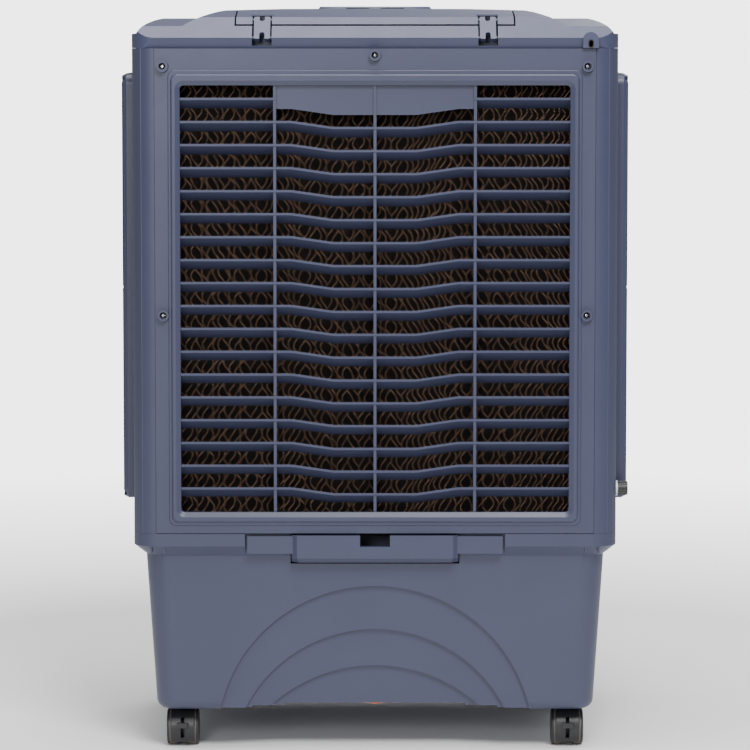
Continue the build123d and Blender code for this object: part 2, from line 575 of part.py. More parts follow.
with BuildPart() as top_cover:
    add(cover_outside)
    add(cover_inside, mode=Mode.SUBTRACT)
    # Well for the lid, with a floor that the ice tray hangs in.
    box_between(
        (-LID_HALF - LID_SEAM, LID_FRONT_Y - LID_SEAM, LID_LOW_Z - LID_SEAM),
        (LID_HALF + LID_SEAM, REAR_Y, 980),
        Mode.SUBTRACT,
    )
    with BuildSketch(Plane.XY.offset(DECK_PLATE_Z)):
        with Locations((0, (LID_FRONT_Y + 206) / 2)):
            Rectangle(2 * LID_HALF + 18, 206 - LID_FRONT_Y + 2)
        with Locations((0, (TRAY_FRONT_Y + TRAY_BACK_Y) / 2)):
            Rectangle(2 * TRAY_HALF + 1, TRAY_BACK_Y - TRAY_FRONT_Y + 1, mode=Mode.SUBTRACT)
    extrude(amount=3)
    well_half, well_front_y = LID_HALF + LID_SEAM, LID_FRONT_Y - LID_SEAM
    for side in (-1, 1):
        side_box(side, (well_half, well_front_y - 3.4, DECK_PLATE_Z), (well_half + 3.4, 196, 940))
    box_between(
        (-well_half - 3.4, well_front_y - 3.4, DECK_PLATE_Z), (well_half + 3.4, well_front_y, 949)
    )
    # Pockets for the hinge links; each lower pin is held between two cheeks.
    for x in (-LINK_X, LINK_X):
        box_between((x - 12.5, 192, 905), (x + 12.5, REAR_Y + 1, 931), Mode.SUBTRACT)
        with BuildSketch(Plane.YZ.offset(x - 15.5)):
            with BuildLine():
                Polyline(
                    (190, DECK_PLATE_Z),
                    (190, 903),
                    (REAR_Y - 5.5, 903),
                    (REAR_Y - 2, 914),
                    (210, 928.5),
                    (193, 928.5),
                    close=True,
                )
            make_face()
        pocket_cheek = extrude(amount=3)
        mirror(pocket_cheek, about=Plane.YZ.offset(x))
        box_between((x - 13, 188, 903), (x + 13, 191, 929))
        box_between((x - 13, 188, 902), (x + 13, REAR_Y - 5.5, 904.6))
        rod_along_x(LINK_PIN_R + RUNNING, x - 16, x + 16, LOW_PIN_Y, LOW_PIN_Z, mode=Mode.SUBTRACT)
    # Arched boss with the cord slot.
    with BuildSketch(Plane.XZ.offset(-REAR_Y + 7)):
        with Locations((CORD_X, SHELL_TOP_Z + 4.6)):
            SlotCenterToCenter(11, 20, rotation=90)
        with Locations((CORD_X, SHELL_TOP_Z - 15)):
            Rectangle(40, 30, mode=Mode.SUBTRACT)
    extrude(amount=-12)
    with BuildSketch(Plane.XZ.offset(-REAR_Y - 10)):
        with Locations((CORD_X, SHELL_TOP_Z + 5.6)):
            RectangleRounded(7.2, 10.5, 3)
    extrude(amount=30, mode=Mode.SUBTRACT)
save(top_cover, "top_cover")

with BuildPart() as cord_bush:
    with BuildSketch(Plane.XZ.offset(-REAR_Y - 5.4)):
        with Locations((CORD_X, SHELL_TOP_Z + 5.6)):
            RectangleRounded(7.2, 10.5, 3)
            RectangleRounded(5.0, 8.3, 2.4, mode=Mode.SUBTRACT)
    extrude(amount=8)
save(cord_bush, "cord_bush")

with BuildPart() as lid_hollow:
    add(cover_inside)
    box_between(
        (-LID_HALF + 3, LID_FRONT_Y + 3, LID_LOW_Z - 10), (LID_HALF - 3, REAR_Y - 3, 980), Mode.INTERSECT
    )

with BuildPart() as lid:
    add(cover_outside)
    box_between((-LID_HALF, LID_FRONT_Y, LID_LOW_Z), (LID_HALF, REAR_Y, 980), Mode.INTERSECT)
    add(lid_hollow.part, mode=Mode.SUBTRACT)
    # Raised grip, with a finger slot either side of its rib.
    with BuildSketch(Plane.XY.offset(949.5)):
        with Locations((0, GRIP_Y)):
            Ellipse(GRIP_HALF, 22)
    extrude(amount=GRIP_TOP_Z - 949.5, taper=35)
    for side in (-1, 1):
        side_box(side, (7.6, GRIP_Y - 3, 951.6), (39, GRIP_Y + 30, 955.2), Mode.SUBTRACT)
    # Pockets over the hinge links, each with a boss for the upper pin between its cheeks.
    for x in (-LINK_X, LINK_X):
        box_between((x - 12.5, 180, 920), (x + 12.5, REAR_Y + 1, 946), Mode.SUBTRACT)
        for cheek_x in (x - 15.5, x + 12.5):
            with BuildSketch(Plane.YZ.offset(cheek_x)):
                with BuildLine():
                    Polyline((180, LID_LOW_Z), (203, LID_LOW_Z), (194, 941), (180, 945), close=True)
                make_face()
            extrude(amount=3)
        box_between((x - 13, 177, LID_LOW_Z), (x + 13, 180, 944.5))
        box_between((x - 13, 177, 942.5), (x + 13, 190, 944.5))
        rod_along_x(LINK_PIN_R + RUNNING, x - 16, x + 16, TOP_PIN_Y, TOP_PIN_Z, mode=Mode.SUBTRACT)
save(lid, "lid")

# Each link is a plate, forked at both ends, with a short pin at each of its four corners.
LINK_END = 3.5  # plate beyond each pin
SLOT_W, LOW_SLOT, TOP_SLOT = 6.6, 11.0, 7.5
link_lean = degrees(atan2(LOW_PIN_Y - TOP_PIN_Y, TOP_PIN_Z - LOW_PIN_Z))
link_length = ((LOW_PIN_Y - TOP_PIN_Y) ** 2 + (TOP_PIN_Z - LOW_PIN_Z) ** 2) ** 0.5

with BuildPart() as one_link:
    # Upright at the origin, its lower pin on the X axis.
    with BuildSketch(Plane.XZ):
        with Locations((0, link_length / 2)):
            RectangleRounded(LINK_W, link_length + 2 * LINK_END, 2)
        for z, deep in ((-LINK_END, LOW_SLOT), (link_length + LINK_END, TOP_SLOT)):
            with Locations((0, z)):
                SlotOverall(2 * deep, SLOT_W, rotation=90, mode=Mode.SUBTRACT)
    extrude(amount=LINK_T / 2, both=True)
    for z in (0, link_length):
        for side in (-1, 1):
            rod_along_x(LINK_PIN_R, *sorted((side * 5.2, side * 15)), 0, z)

with BuildPart() as hinge_links:
    for x in (-LINK_X, LINK_X):
        add(one_link.part.moved(Location((x, LOW_PIN_Y, LOW_PIN_Z), (link_lean, 0, 0))))
save(hinge_links, "hinge_links")

with BuildPart() as ice_tray:
    box_between((-TRAY_HALF, TRAY_FRONT_Y, 868), (TRAY_HALF, TRAY_BACK_Y, DECK_PLATE_Z + 3.2))
    box_between(
        (-TRAY_HALF - 6, TRAY_FRONT_Y - 6, DECK_PLATE_Z + 3.2),
        (TRAY_HALF + 6, TRAY_BACK_Y + 6, DECK_PLATE_Z + 4.6),
    )
    box_between(
        (-TRAY_HALF + 2.5, TRAY_FRONT_Y + 2.5, 870.5),
        (TRAY_HALF - 2.5, TRAY_BACK_Y - 2.5, 940),
        Mode.SUBTRACT,
    )
    with Locations((0, (TRAY_FRONT_Y + TRAY_BACK_Y) / 2, 869)):
        with GridLocations(50, 50, 6, 4):
            Cylinder(3, 8, mode=Mode.SUBTRACT)
save(ice_tray, "ice_tray")

# ---- Fan ----------------------------------------------------------------------------------------
BLADE_COUNT = 5
HUB_R, HUB_FRONT_Y, HUB_BACK_Y = 42.0, -132.0, -92.0
RING_IN_R, RING_OUT_R = 192.0, 195.0
GUARD_Y = -155.0

with BuildPart() as fan_shroud:
    box_between((-302, SHROUD_Y - SHROUD_T, 420), (302, SHROUD_Y, 892))
    rod_along_y(RING_OUT_R, SHROUD_Y - 1, SHROUD_Y + 62, 0, FAN_Z)
    rod_along_y(RING_IN_R, SHROUD_Y - 10, SHROUD_Y + 70, 0, FAN_Z, mode=Mode.SUBTRACT)
save(fan_shroud, "fan_shroud")

# A twisted blade, pitched more at the hub than at the tip.
with BuildPart() as blade:
    for radius, pitch, chord in ((HUB_R - 6, 42, 62), (115, 33, 96), (FAN_R - 3, 25, 118)):
        section = Plane(
            origin=(radius, (HUB_FRONT_Y + HUB_BACK_Y) / 2, FAN_Z), x_dir=(0, 0, 1), z_dir=(1, 0, 0)
        ).rotated((pitch, 0, 0))
        with BuildSketch(section):
            SlotOverall(chord, 3.2)
    loft()

with BuildPart() as fan_rotor:
    rod_along_y(HUB_R, HUB_FRONT_Y, HUB_BACK_Y, 0, FAN_Z)
    fillet(fan_rotor.edges().filter_by(GeomType.CIRCLE).group_by(Axis.Y)[0], 8)
    for index in range(BLADE_COUNT):
        add(blade.part.rotate(Axis((0, 0, FAN_Z), (0, 1, 0)), index * 360 / BLADE_COUNT))
    rod_along_y(FAN_R, HUB_FRONT_Y - 30, HUB_BACK_Y + 30, 0, FAN_Z, mode=Mode.INTERSECT)
    rod_along_y(SHAFT_R, HUB_FRONT_Y - 5, HUB_BACK_Y + 5, 0, FAN_Z, mode=Mode.SUBTRACT)
save(fan_rotor, "fan_rotor")

with BuildPart() as motor_shaft:
    rod_along_y(SHAFT_R, HUB_FRONT_Y - 12, MOTOR_FRONT_Y + 40, 0, FAN_Z)
    with BuildSketch(Plane.XZ.offset(-HUB_FRONT_Y)):
        with Locations((0, FAN_Z)):
            RegularPolygon(9, 6)
            Circle(SHAFT_R, mode=Mode.SUBTRACT)
    extrude(amount=7)
save(motor_shaft, "motor_shaft")

with BuildPart() as fan_motor:
    rod_along_y(MOTOR_R, MOTOR_FRONT_Y, MOTOR_BACK_Y, 0, FAN_Z)
    fillet(fan_motor.edges().filter_by(GeomType.CIRCLE), 9)
    rod_along_y(12, MOTOR_FRONT_Y - 8, MOTOR_FRONT_Y + 2, 0, FAN_Z)
    with Locations(Location((0, MOTOR_BACK_Y, FAN_Z), (-90, 0, 0))):
        with PolarLocations(36, 12):
            Cylinder(5, 8, mode=Mode.SUBTRACT)
    rod_along_y(
        SHAFT_R + RUNNING, MOTOR_FRONT_Y - 9, MOTOR_FRONT_Y + 41, 0, FAN_Z, mode=Mode.SUBTRACT
    )
save(fan_motor, "fan_motor")

with BuildPart() as motor_bracket:
    # Clamp ring round the motor, and four arms that reach forward to the shroud plate.
    rod_along_y(MOTOR_R + 4, -36, -14, 0, FAN_Z)
    for turn in (45, 135, 225, 315):
        outwards = (cos(radians(turn)), 0, sin(radians(turn)))
        arm = Plane(origin=(0, 0, FAN_Z), x_dir=outwards, z_dir=(0, 1, 0))
        with BuildSketch(arm.offset(-28)):
            with Locations(((MOTOR_R + 222) / 2, 0)):
                Rectangle(222 - MOTOR_R, 16)
        extrude(amount=5)
        with BuildSketch(arm.offset(SHROUD_Y)):
            with Locations((216, 0)):
                Rectangle(12, 16)
        extrude(amount=-28 - SHROUD_Y + 5)
    rod_along_y(MOTOR_R, -40, -10, 0, FAN_Z, mode=Mode.SUBTRACT)
save(motor_bracket, "motor_bracket")

with BuildPart() as fan_guard:
    with BuildSketch(Plane.YZ):
        for radius in range(24, 200, 24):
            with Locations((GUARD_Y, FAN_Z + radius)):
                Circle(1.5)
    revolve(axis=Axis((0, 0, FAN_Z), (0, 1, 0)))
    for turn in range(0, 180, 45):
        with Locations(Location((0, GUARD_Y, FAN_Z), (0, turn, 0))):
            Cylinder(1.6, 2 * 204)
    rod_along_y(16, GUARD_Y - 1.5, GUARD_Y + 1.5, 0, FAN_Z)
    for turn in range(0, 360, 90):
        foot_x, foot_z = 204 * cos(radians(turn)), FAN_Z + 204 * sin(radians(turn))
        rod_along_y(4, GUARD_Y - 2, SHROUD_Y - SHROUD_T, foot_x, foot_z)
save(fan_guard, "fan_guard")

# ---- Water circuit ------------------------------------------------------------------------------
PUMP_X, PUMP_Y = 205.0, 95.0
PUMP_LOW_Z = TANK_FLOOR_Z + FLOOR_LIFTS[0][1] + FLOOR_T + 0.1
NOZZLE_Y = PUMP_Y + 38.0
HOSE_R, HOSE_WALL = 8.0, 1.8
HOSE_X, HOSE_Y = 240.0, 138.0
TROUGH_LOW_Z, TROUGH_TOP_Z = PAD_TOP_Z + 0.4, 886.0
pump_top_z = PUMP_LOW_Z + 82

with BuildPart() as water_pump:
    # Slotted strainer foot, motor body and an upright outlet.
    rod_along_z(38, PUMP_LOW_Z, PUMP_LOW_Z + 22, PUMP_X, PUMP_Y)
    with Locations((PUMP_X, PUMP_Y, PUMP_LOW_Z + 9)):
        with PolarLocations(38, 24):
            Box(12, 3, 14, mode=Mode.SUBTRACT)
    rod_along_z(28, PUMP_LOW_Z + 20, pump_top_z - 8, PUMP_X, PUMP_Y)
    fillet(water_pump.edges().filter_by(GeomType.CIRCLE).group_by(Axis.Z)[-1], 6)
    box_between((PUMP_X - 12, PUMP_Y, PUMP_LOW_Z + 22), (PUMP_X + 12, NOZZLE_Y + 4, PUMP_LOW_Z + 40))
    rod_along_z(HOSE_R - HOSE_WALL - 0.05, PUMP_LOW_Z + 38, PUMP_LOW_Z + 58, PUMP_X, NOZZLE_Y)
save(water_pump, "water_pump")

hose_start = (PUMP_X, NOZZLE_Y, PUMP_LOW_Z + 42)
with BuildPart() as riser_hose:
    with BuildLine() as hose_line:
        FilletPolyline(
            hose_start,
            (PUMP_X, NOZZLE_Y, 330),
            (HOSE_X, HOSE_Y, 480),
            (HOSE_X, HOSE_Y, 874),
            (SIDE_PAD_X - PAD_T - 0.4, HOSE_Y, 874),
            radius=18,
        )
    with BuildSketch(Plane(origin=hose_start, z_dir=(0, 0, 1))):
        Circle(HOSE_R)
        Circle(HOSE_R - HOSE_WALL, mode=Mode.SUBTRACT)
    sweep(path=hose_line.line)
save(riser_hose, "riser_hose")

with BuildPart() as water_distributor:
    # A U-shaped trough over the three pads, with a row of drip holes in its floor.
    trough_arms = (
        ((-SIDE_X + 8, SIDE_PAD_FRONT + 2), (-SIDE_PAD_X + PAD_T, REAR_PAD_Y - 2)),
        ((SIDE_PAD_X - PAD_T, SIDE_PAD_FRONT + 2), (SIDE_X - 8, REAR_PAD_Y - 2)),
        ((-SIDE_X + 8, REAR_PAD_Y - PAD_T), (SIDE_X - 8, REAR_PAD_Y - 2)),
    )
    for (x_low, y_low), (x_high, y_high) in trough_arms:
        box_between((x_low, y_low, TROUGH_LOW_Z), (x_high, y_high, TROUGH_TOP_Z))
    for (x_low, y_low), (x_high, y_high) in trough_arms:
        box_between(
            (x_low + 2.2, y_low + 2.2, TROUGH_LOW_Z + 2.2),
            (x_high - 2.2, y_high - 2.2, TROUGH_TOP_Z + 1),
            Mode.SUBTRACT,
        )
    with Locations((0, REAR_PAD_Y - PAD_T / 2, TROUGH_LOW_Z)):
        with GridLocations(24, 1, 20, 1):
            Cylinder(2, 10, mode=Mode.SUBTRACT)
    for side in (-1, 1):
        with Locations((side * (SIDE_PAD_X - PAD_T / 2), 0, TROUGH_LOW_Z)):
            with GridLocations(1, 24, 1, 11):
                Cylinder(2, 10, mode=Mode.SUBTRACT)
save(water_distributor, "water_distributor")

# ---- Mains water inlet and float ----------------------------------------------------------------
VALVE_Y, VALVE_Z = 60.0, 236.0
TANK_WALL_X = -276.0  # inner face of the tub wall at the valve
FLOAT_R = 30.0
ARM_LEN = 105.0

with BuildPart() as hose_connector:
    rod_along_x(INLET_R, -SIDE_X - 11, -SIDE_X + 22, INLET_Y, INLET_Z)
    rod_along_x(10, -SIDE_X - 2.4, -SIDE_X, INLET_Y, INLET_Z)
    with BuildSketch(Plane.YZ.offset(-SIDE_X + WALL)):
        with Locations((INLET_Y, INLET_Z)):
            RegularPolygon(10, 6)
            Circle(INLET_R, mode=Mode.SUBTRACT)
    extrude(amount=5)
    rod_along_x(3.5, -SIDE_X - 12, -SIDE_X + 23, INLET_Y, INLET_Z, mode=Mode.SUBTRACT)
save(hose_connector, "hose_connector")

with BuildPart() as connector_cap:
    rod_along_x(9, -SIDE_X - 15.5, -SIDE_X - 3.4, INLET_Y, INLET_Z)
    with Locations(Location((-SIDE_X - 9.5, INLET_Y, INLET_Z), (0, 90, 0))):
        with PolarLocations(9.2, 18):
            Cylinder(0.7, 12.2, mode=Mode.SUBTRACT)
    rod_along_x(INLET_R + RUNNING, -SIDE_X - 11.2, -SIDE_X - 3, INLET_Y, INLET_Z, mode=Mode.SUBTRACT)
save(connector_cap, "connector_cap")

with BuildPart() as float_valve:
    # Body clamped to a bracket on the tub wall, with its feed tube from the inlet.
    box_between(
        (TANK_WALL_X - 2, VALVE_Y - 14, VALVE_Z - 6), (TANK_WALL_X + 16, VALVE_Y + 14, VALVE_Z + 18)
    )
    for y in (VALVE_Y - 9, VALVE_Y + 5):
        box_between((TANK_WALL_X + 14, y, VALVE_Z - 6), (TANK_WALL_X + 30, y + 4, VALVE_Z + 8))
    rod_along_y(2 + RUNNING, VALVE_Y - 12, VALVE_Y + 12, TANK_WALL_X + 24, VALVE_Z, mode=Mode.SUBTRACT)
    with BuildLine() as feed_line:
        FilletPolyline(
            (TANK_WALL_X + 7, VALVE_Y, VALVE_Z + 17),
            (TANK_WALL_X + 7, VALVE_Y, 318),
            (TANK_WALL_X + 7, INLET_Y, 318),
            (-SIDE_X + 40, INLET_Y, INLET_Z),
            (-SIDE_X + 21, INLET_Y, INLET_Z),
            radius=8,
        )
    with BuildSketch(Plane(origin=(TANK_WALL_X + 7, VALVE_Y, VALVE_Z + 17), z_dir=(0, 0, 1))):
        Circle(3.2)
    sweep(path=feed_line.line)
save(float_valve, "float_valve")

with BuildPart() as float_arm:
    rod_along_y(2, VALVE_Y - 8.6, VALVE_Y + 8.6, TANK_WALL_X + 24, VALVE_Z)
    box_between(
        (TANK_WALL_X + 18, VALVE_Y - 4.4, VALVE_Z - 5), (TANK_WALL_X + 32, VALVE_Y + 4.4, VALVE_Z + 5)
    )
    ball_x, ball_z = TANK_WALL_X + 24 + ARM_LEN, VALVE_Z - 34
    with BuildLine() as arm_line:
        FilletPolyline(
            (TANK_WALL_X + 30, VALVE_Y, VALVE_Z),
            (TANK_WALL_X + 24 + ARM_LEN * 0.55, VALVE_Y, VALVE_Z),
            (ball_x, VALVE_Y, ball_z + 10),
            radius=15,
        )
    with BuildSketch(Plane(origin=(TANK_WALL_X + 30, VALVE_Y, VALVE_Z), z_dir=(1, 0, 0))):
        Circle(1.8)
    sweep(path=arm_line.line)
    with Locations((ball_x + 8, VALVE_Y, ball_z - 8)):
        Sphere(FLOAT_R)
save(float_arm, "float_arm")

# ---- Front bezel and air duct -------------------------------------------------------------------
BEZEL_T = 3.0
RECESS_X, RECESS_LOW_Z, RECESS_TOP_Z = 238.0, 808.0, 888.0
duct_back_y = VANE_Y + 17
louvre_pitch = (DUCT_TOP_Z - DUCT_LOW_Z) / LOUVRE_COUNT
louvre_heights = [DUCT_LOW_Z + (index + 0.5) * louvre_pitch for index in range(LOUVRE_COUNT)]
vane_pitch = 2 * DUCT_HALF / VANE_COUNT
vane_places = [-DUCT_HALF + (index + 0.5) * vane_pitch for index in range(VANE_COUNT)]
KNOB_SHAFT_R = 3.0
front_frame_y = -FRAME_Y

with BuildPart() as front_bezel:
    with BuildSketch(Plane.XZ.offset(-front_frame_y + 0.2)):
        with Locations((0, (PANEL_LOW_Z + PANEL_TOP_Z) / 2)):
            Rectangle(2 * PANEL_HALF, PANEL_TOP_Z - PANEL_LOW_Z)
    extrude(amount=front_frame_y - 0.2 - BEZEL_Y)
    fillet(front_bezel.faces().sort_by(Axis.Y)[0].edges(), 4)
    # Hollow behind, with the duct walls and the control recess left standing.
    box_between(
        (-PANEL_HALF + 3, BEZEL_Y + BEZEL_T, PANEL_LOW_Z + 3),
        (PANEL_HALF - 3, front_frame_y + 1, PANEL_TOP_Z - 3),
        Mode.SUBTRACT,
    )
    box_between(
        (-DUCT_HALF - DUCT_WALL, BEZEL_Y + 1, DUCT_LOW_Z - DUCT_WALL),
        (DUCT_HALF + DUCT_WALL, duct_back_y, DUCT_TOP_Z + DUCT_WALL),
    )
    box_between(
        (-DUCT_HALF, BEZEL_Y - 1, DUCT_LOW_Z), (DUCT_HALF, duct_back_y + 1, DUCT_TOP_Z), Mode.SUBTRACT
    )
    box_between(
        (-RECESS_X - 3, BEZEL_Y + 1, RECESS_LOW_Z - 3), (RECESS_X + 3, CONTROL_Y + 5, RECESS_TOP_Z + 3)
    )
    box_between(
        (-RECESS_X, BEZEL_Y - 1, RECESS_LOW_Z), (RECESS_X, CONTROL_Y + 2, RECESS_TOP_Z), Mode.SUBTRACT
    )
    for x in KNOB_X:
        rod_along_y(9, CONTROL_Y, CONTROL_Y + 9, x, KNOB_Z, mode=Mode.SUBTRACT)
    # Upright flutes on the blank panel under the duct.
    with Locations((0, BEZEL_Y, 382)):
        with GridLocations(26, 1, 18, 1):
            Box(9, 2.4, 130, mode=Mode.SUBTRACT)
    for z in louvre_heights:
        for side in (-1, 1):
            rod_along_x(
                PIVOT_R + RUNNING,
                *sorted((side * (DUCT_HALF - 1), side * (DUCT_HALF + PIVOT_LEN + 0.4))),
                LOUVRE_Y,
                z,
                mode=Mode.SUBTRACT,
            )
    for x in vane_places:
        rod_along_z(
            PIVOT_R + RUNNING, DUCT_LOW_Z - DUCT_WALL - 1, DUCT_LOW_Z + 1, x, VANE_Y, mode=Mode.SUBTRACT
        )
        rod_along_z(
            PIVOT_R + RUNNING, DUCT_TOP_Z - 1, DUCT_TOP_Z + PIVOT_LEN + 0.4, x, VANE_Y, mode=Mode.SUBTRACT
        )
save(front_bezel, "front_bezel")

# ---- Louvres and vanes --------------------------------------------------------------------------
BLADE_GAP = 1.2  # between a blade's end and the duct wall
NOTCH_W, NOTCH_REACH = 9.0, 9.0
LINK_BAR_W, LINK_BAR_T = 7.0, 3.0
louvre_link_x = DUCT_HALF - 14.0
vane_link_z = DUCT_LOW_Z + 60.0
louvre_half = DUCT_HALF - BLADE_GAP
vane_half = (DUCT_TOP_Z - DUCT_LOW_Z) / 2 - BLADE_GAP
duct_middle_z = (DUCT_TOP_Z + DUCT_LOW_Z) / 2

# A louvre lies along X at the origin, with a notch at its rear edge for the link pin.
with BuildPart() as one_louvre:
    with BuildSketch(Plane.YZ.offset(-louvre_half)):
        SlotOverall(LOUVRE_CHORD, BLADE_T)
    extrude(amount=2 * louvre_half)
    rod_along_x(BLADE_T / 2 + 1.6, -louvre_half, louvre_half, 0, 0)
    rod_along_x(PIVOT_R, -DUCT_HALF - PIVOT_LEN, DUCT_HALF + PIVOT_LEN, 0, 0)
    box_between(
        (louvre_link_x - NOTCH_W / 2, CRANK - NOTCH_REACH + 1, -9),
        (louvre_link_x + NOTCH_W / 2, LOUVRE_CHORD, 9),
        Mode.SUBTRACT,
    )
    rod_along_x(
        CRANK_PIN_R, louvre_link_x - NOTCH_W / 2 - 1, louvre_link_x + NOTCH_W / 2 + 1, CRANK, 0
    )

for index, z in enumerate(louvre_heights):
    with BuildPart() as louvre:
        add(one_louvre.part.moved(Location((0, LOUVRE_Y, z))))
    save(louvre, f"louvre_{index + 1}")

with BuildPart() as louvre_link:
    box_between(
        (louvre_link_x - LINK_BAR_T / 2, LOUVRE_Y + CRANK - LINK_BAR_W / 2, louvre_heights[0] - 6),
        (louvre_link_x + LINK_BAR_T / 2, LOUVRE_Y + CRANK + LINK_BAR_W / 2, louvre_heights[-1] + 6),
    )
    for index, z in enumerate(louvre_heights):
        hole_r = CRANK_PIN_R + (RUNNING if index == 0 else 0.35)
        rod_along_x(
            hole_r, louvre_link_x - 5, louvre_link_x + 5, LOUVRE_Y + CRANK, z, mode=Mode.SUBTRACT
        )
save(louvre_link, "louvre_link")

# A vane stands along Z at the origin, with a notch for its own link.
with BuildPart() as one_vane:
    with BuildSketch(Plane.XY.offset(-vane_half)):
        SlotOverall(VANE_CHORD, BLADE_T, rotation=90)
    extrude(amount=2 * vane_half)
    rod_along_z(BLADE_T / 2 + 1.6, -vane_half, vane_half, 0, 0)
    rod_along_z(PIVOT_R, -vane_half - BLADE_GAP - PIVOT_LEN, vane_half + BLADE_GAP + PIVOT_LEN, 0, 0)
    link_at = vane_link_z - duct_middle_z
    box_between(
        (-9, CRANK - NOTCH_REACH + 1, link_at - NOTCH_W / 2),
        (9, VANE_CHORD, link_at + NOTCH_W / 2),
        Mode.SUBTRACT,
    )
    rod_along_z(CRANK_PIN_R, link_at - NOTCH_W / 2 - 1, link_at + NOTCH_W / 2 + 1, 0, CRANK)

for index, x in enumerate(vane_places):
    with BuildPart() as vane:
        add(one_vane.part.moved(Location((x, VANE_Y, duct_middle_z))))
    save(vane, f"vane_{index + 1}")

with BuildPart() as vane_link:
    box_between(
        (vane_places[0] - 6, VANE_Y + CRANK - LINK_BAR_W / 2, vane_link_z - LINK_BAR_T / 2),
        (vane_places[-1] + 6, VANE_Y + CRANK + LINK_BAR_W / 2, vane_link_z + LINK_BAR_T / 2),
    )
    for index, x in enumerate(vane_places):
        hole_r = CRANK_PIN_R + (RUNNING if index == VANE_COUNT // 2 else 0.35)
        rod_along_z(hole_r, vane_link_z - 5, vane_link_z + 5, x, VANE_Y + CRANK, mode=Mode.SUBTRACT)
save(vane_link, "vane_link")

with BuildPart() as swing_motor:
    # Hangs under the duct; the middle vane's lower pin goes down into it.
    motor_top_z = DUCT_LOW_Z - DUCT_WALL
    rod_along_z(17, motor_top_z - 26, motor_top_z, 0, VANE_Y)
    for side in (-1, 1):
        side_box(side, (15, VANE_Y - 4, motor_top_z - 3), (27, VANE_Y + 4, motor_top_z))
    rod_along_z(PIVOT_R + RUNNING, motor_top_z - 12, motor_top_z + 1, 0, VANE_Y, mode=Mode.SUBTRACT)
save(swing_motor, "swing_motor")

# ---- Controls -----------------------------------------------------------------------------------
with BuildPart() as control_panel:
    box_between(
        (-RECESS_X + 0.4, CONTROL_Y, RECESS_LOW_Z + 0.4),
        (RECESS_X - 0.4, CONTROL_Y + 2, RECESS_TOP_Z - 0.4),
    )
    for x in KNOB_X:
        rod_along_y(KNOB_R + 4, CONTROL_Y - 1, CONTROL_Y + 1, x, KNOB_Z)
        rod_along_y(KNOB_SHAFT_R + RUNNING, CONTROL_Y - 3, CONTROL_Y + 3, x, KNOB_Z, mode=Mode.SUBTRACT)
save(control_panel, "control_panel")

for index, x in enumerate(KNOB_X):
    with BuildPart() as knob:
        rod_along_y(KNOB_R, CONTROL_Y - 17, CONTROL_Y - 1.4, x, KNOB_Z)
        fillet(knob.edges().filter_by(GeomType.CIRCLE).group_by(Axis.Y)[0], 2.5)
        for side in (-1, 1):
            with Locations((x + side * 16, CONTROL_Y - 14, KNOB_Z)):
                Box(20, 18, 44, mode=Mode.SUBTRACT)
        rod_along_y(KNOB_R, CONTROL_Y - 6, CONTROL_Y - 1.4, x, KNOB_Z)
        box_between((x - 1, CONTROL_Y - 17.8, KNOB_Z + 6), (x + 1, CONTROL_Y - 16, KNOB_Z + KNOB_R - 3))
        rod_along_y(KNOB_SHAFT_R, CONTROL_Y - 8, CONTROL_Y + 14, x, KNOB_Z)
    save(knob, f"knob_{index + 1}")

with BuildPart() as switch_bodies:
    for x in KNOB_X:
        box_between((x - 15, CONTROL_Y + 6, KNOB_Z - 17), (x + 15, CONTROL_Y + 32, KNOB_Z + 17))
        rod_along_y(8.4, CONTROL_Y + 2, CONTROL_Y + 7, x, KNOB_Z)
        rod_along_y(KNOB_SHAFT_R + RUNNING, CONTROL_Y, CONTROL_Y + 15, x, KNOB_Z, mode=Mode.SUBTRACT)
save(switch_bodies, "switch_bodies")

# ---- Casters ------------------------------------------------------------------------------------
HOOD_W, HOOD_R, HOOD_LOW_Z = 31.0, 26.4, 6.0
LEVER_PIVOT_Y, LEVER_PIVOT_Z = 11.0, 35.0  # Y is counted from the axle
WEB_T = WHEEL_GAP - 2.0
CASTERS = ((-CASTER_X, STEM_Y), (CASTER_X, STEM_Y), (-CASTER_X, -STEM_Y), (CASTER_X, -STEM_Y))
stem_low_z = TANK_FLOOR_Z - 0.6

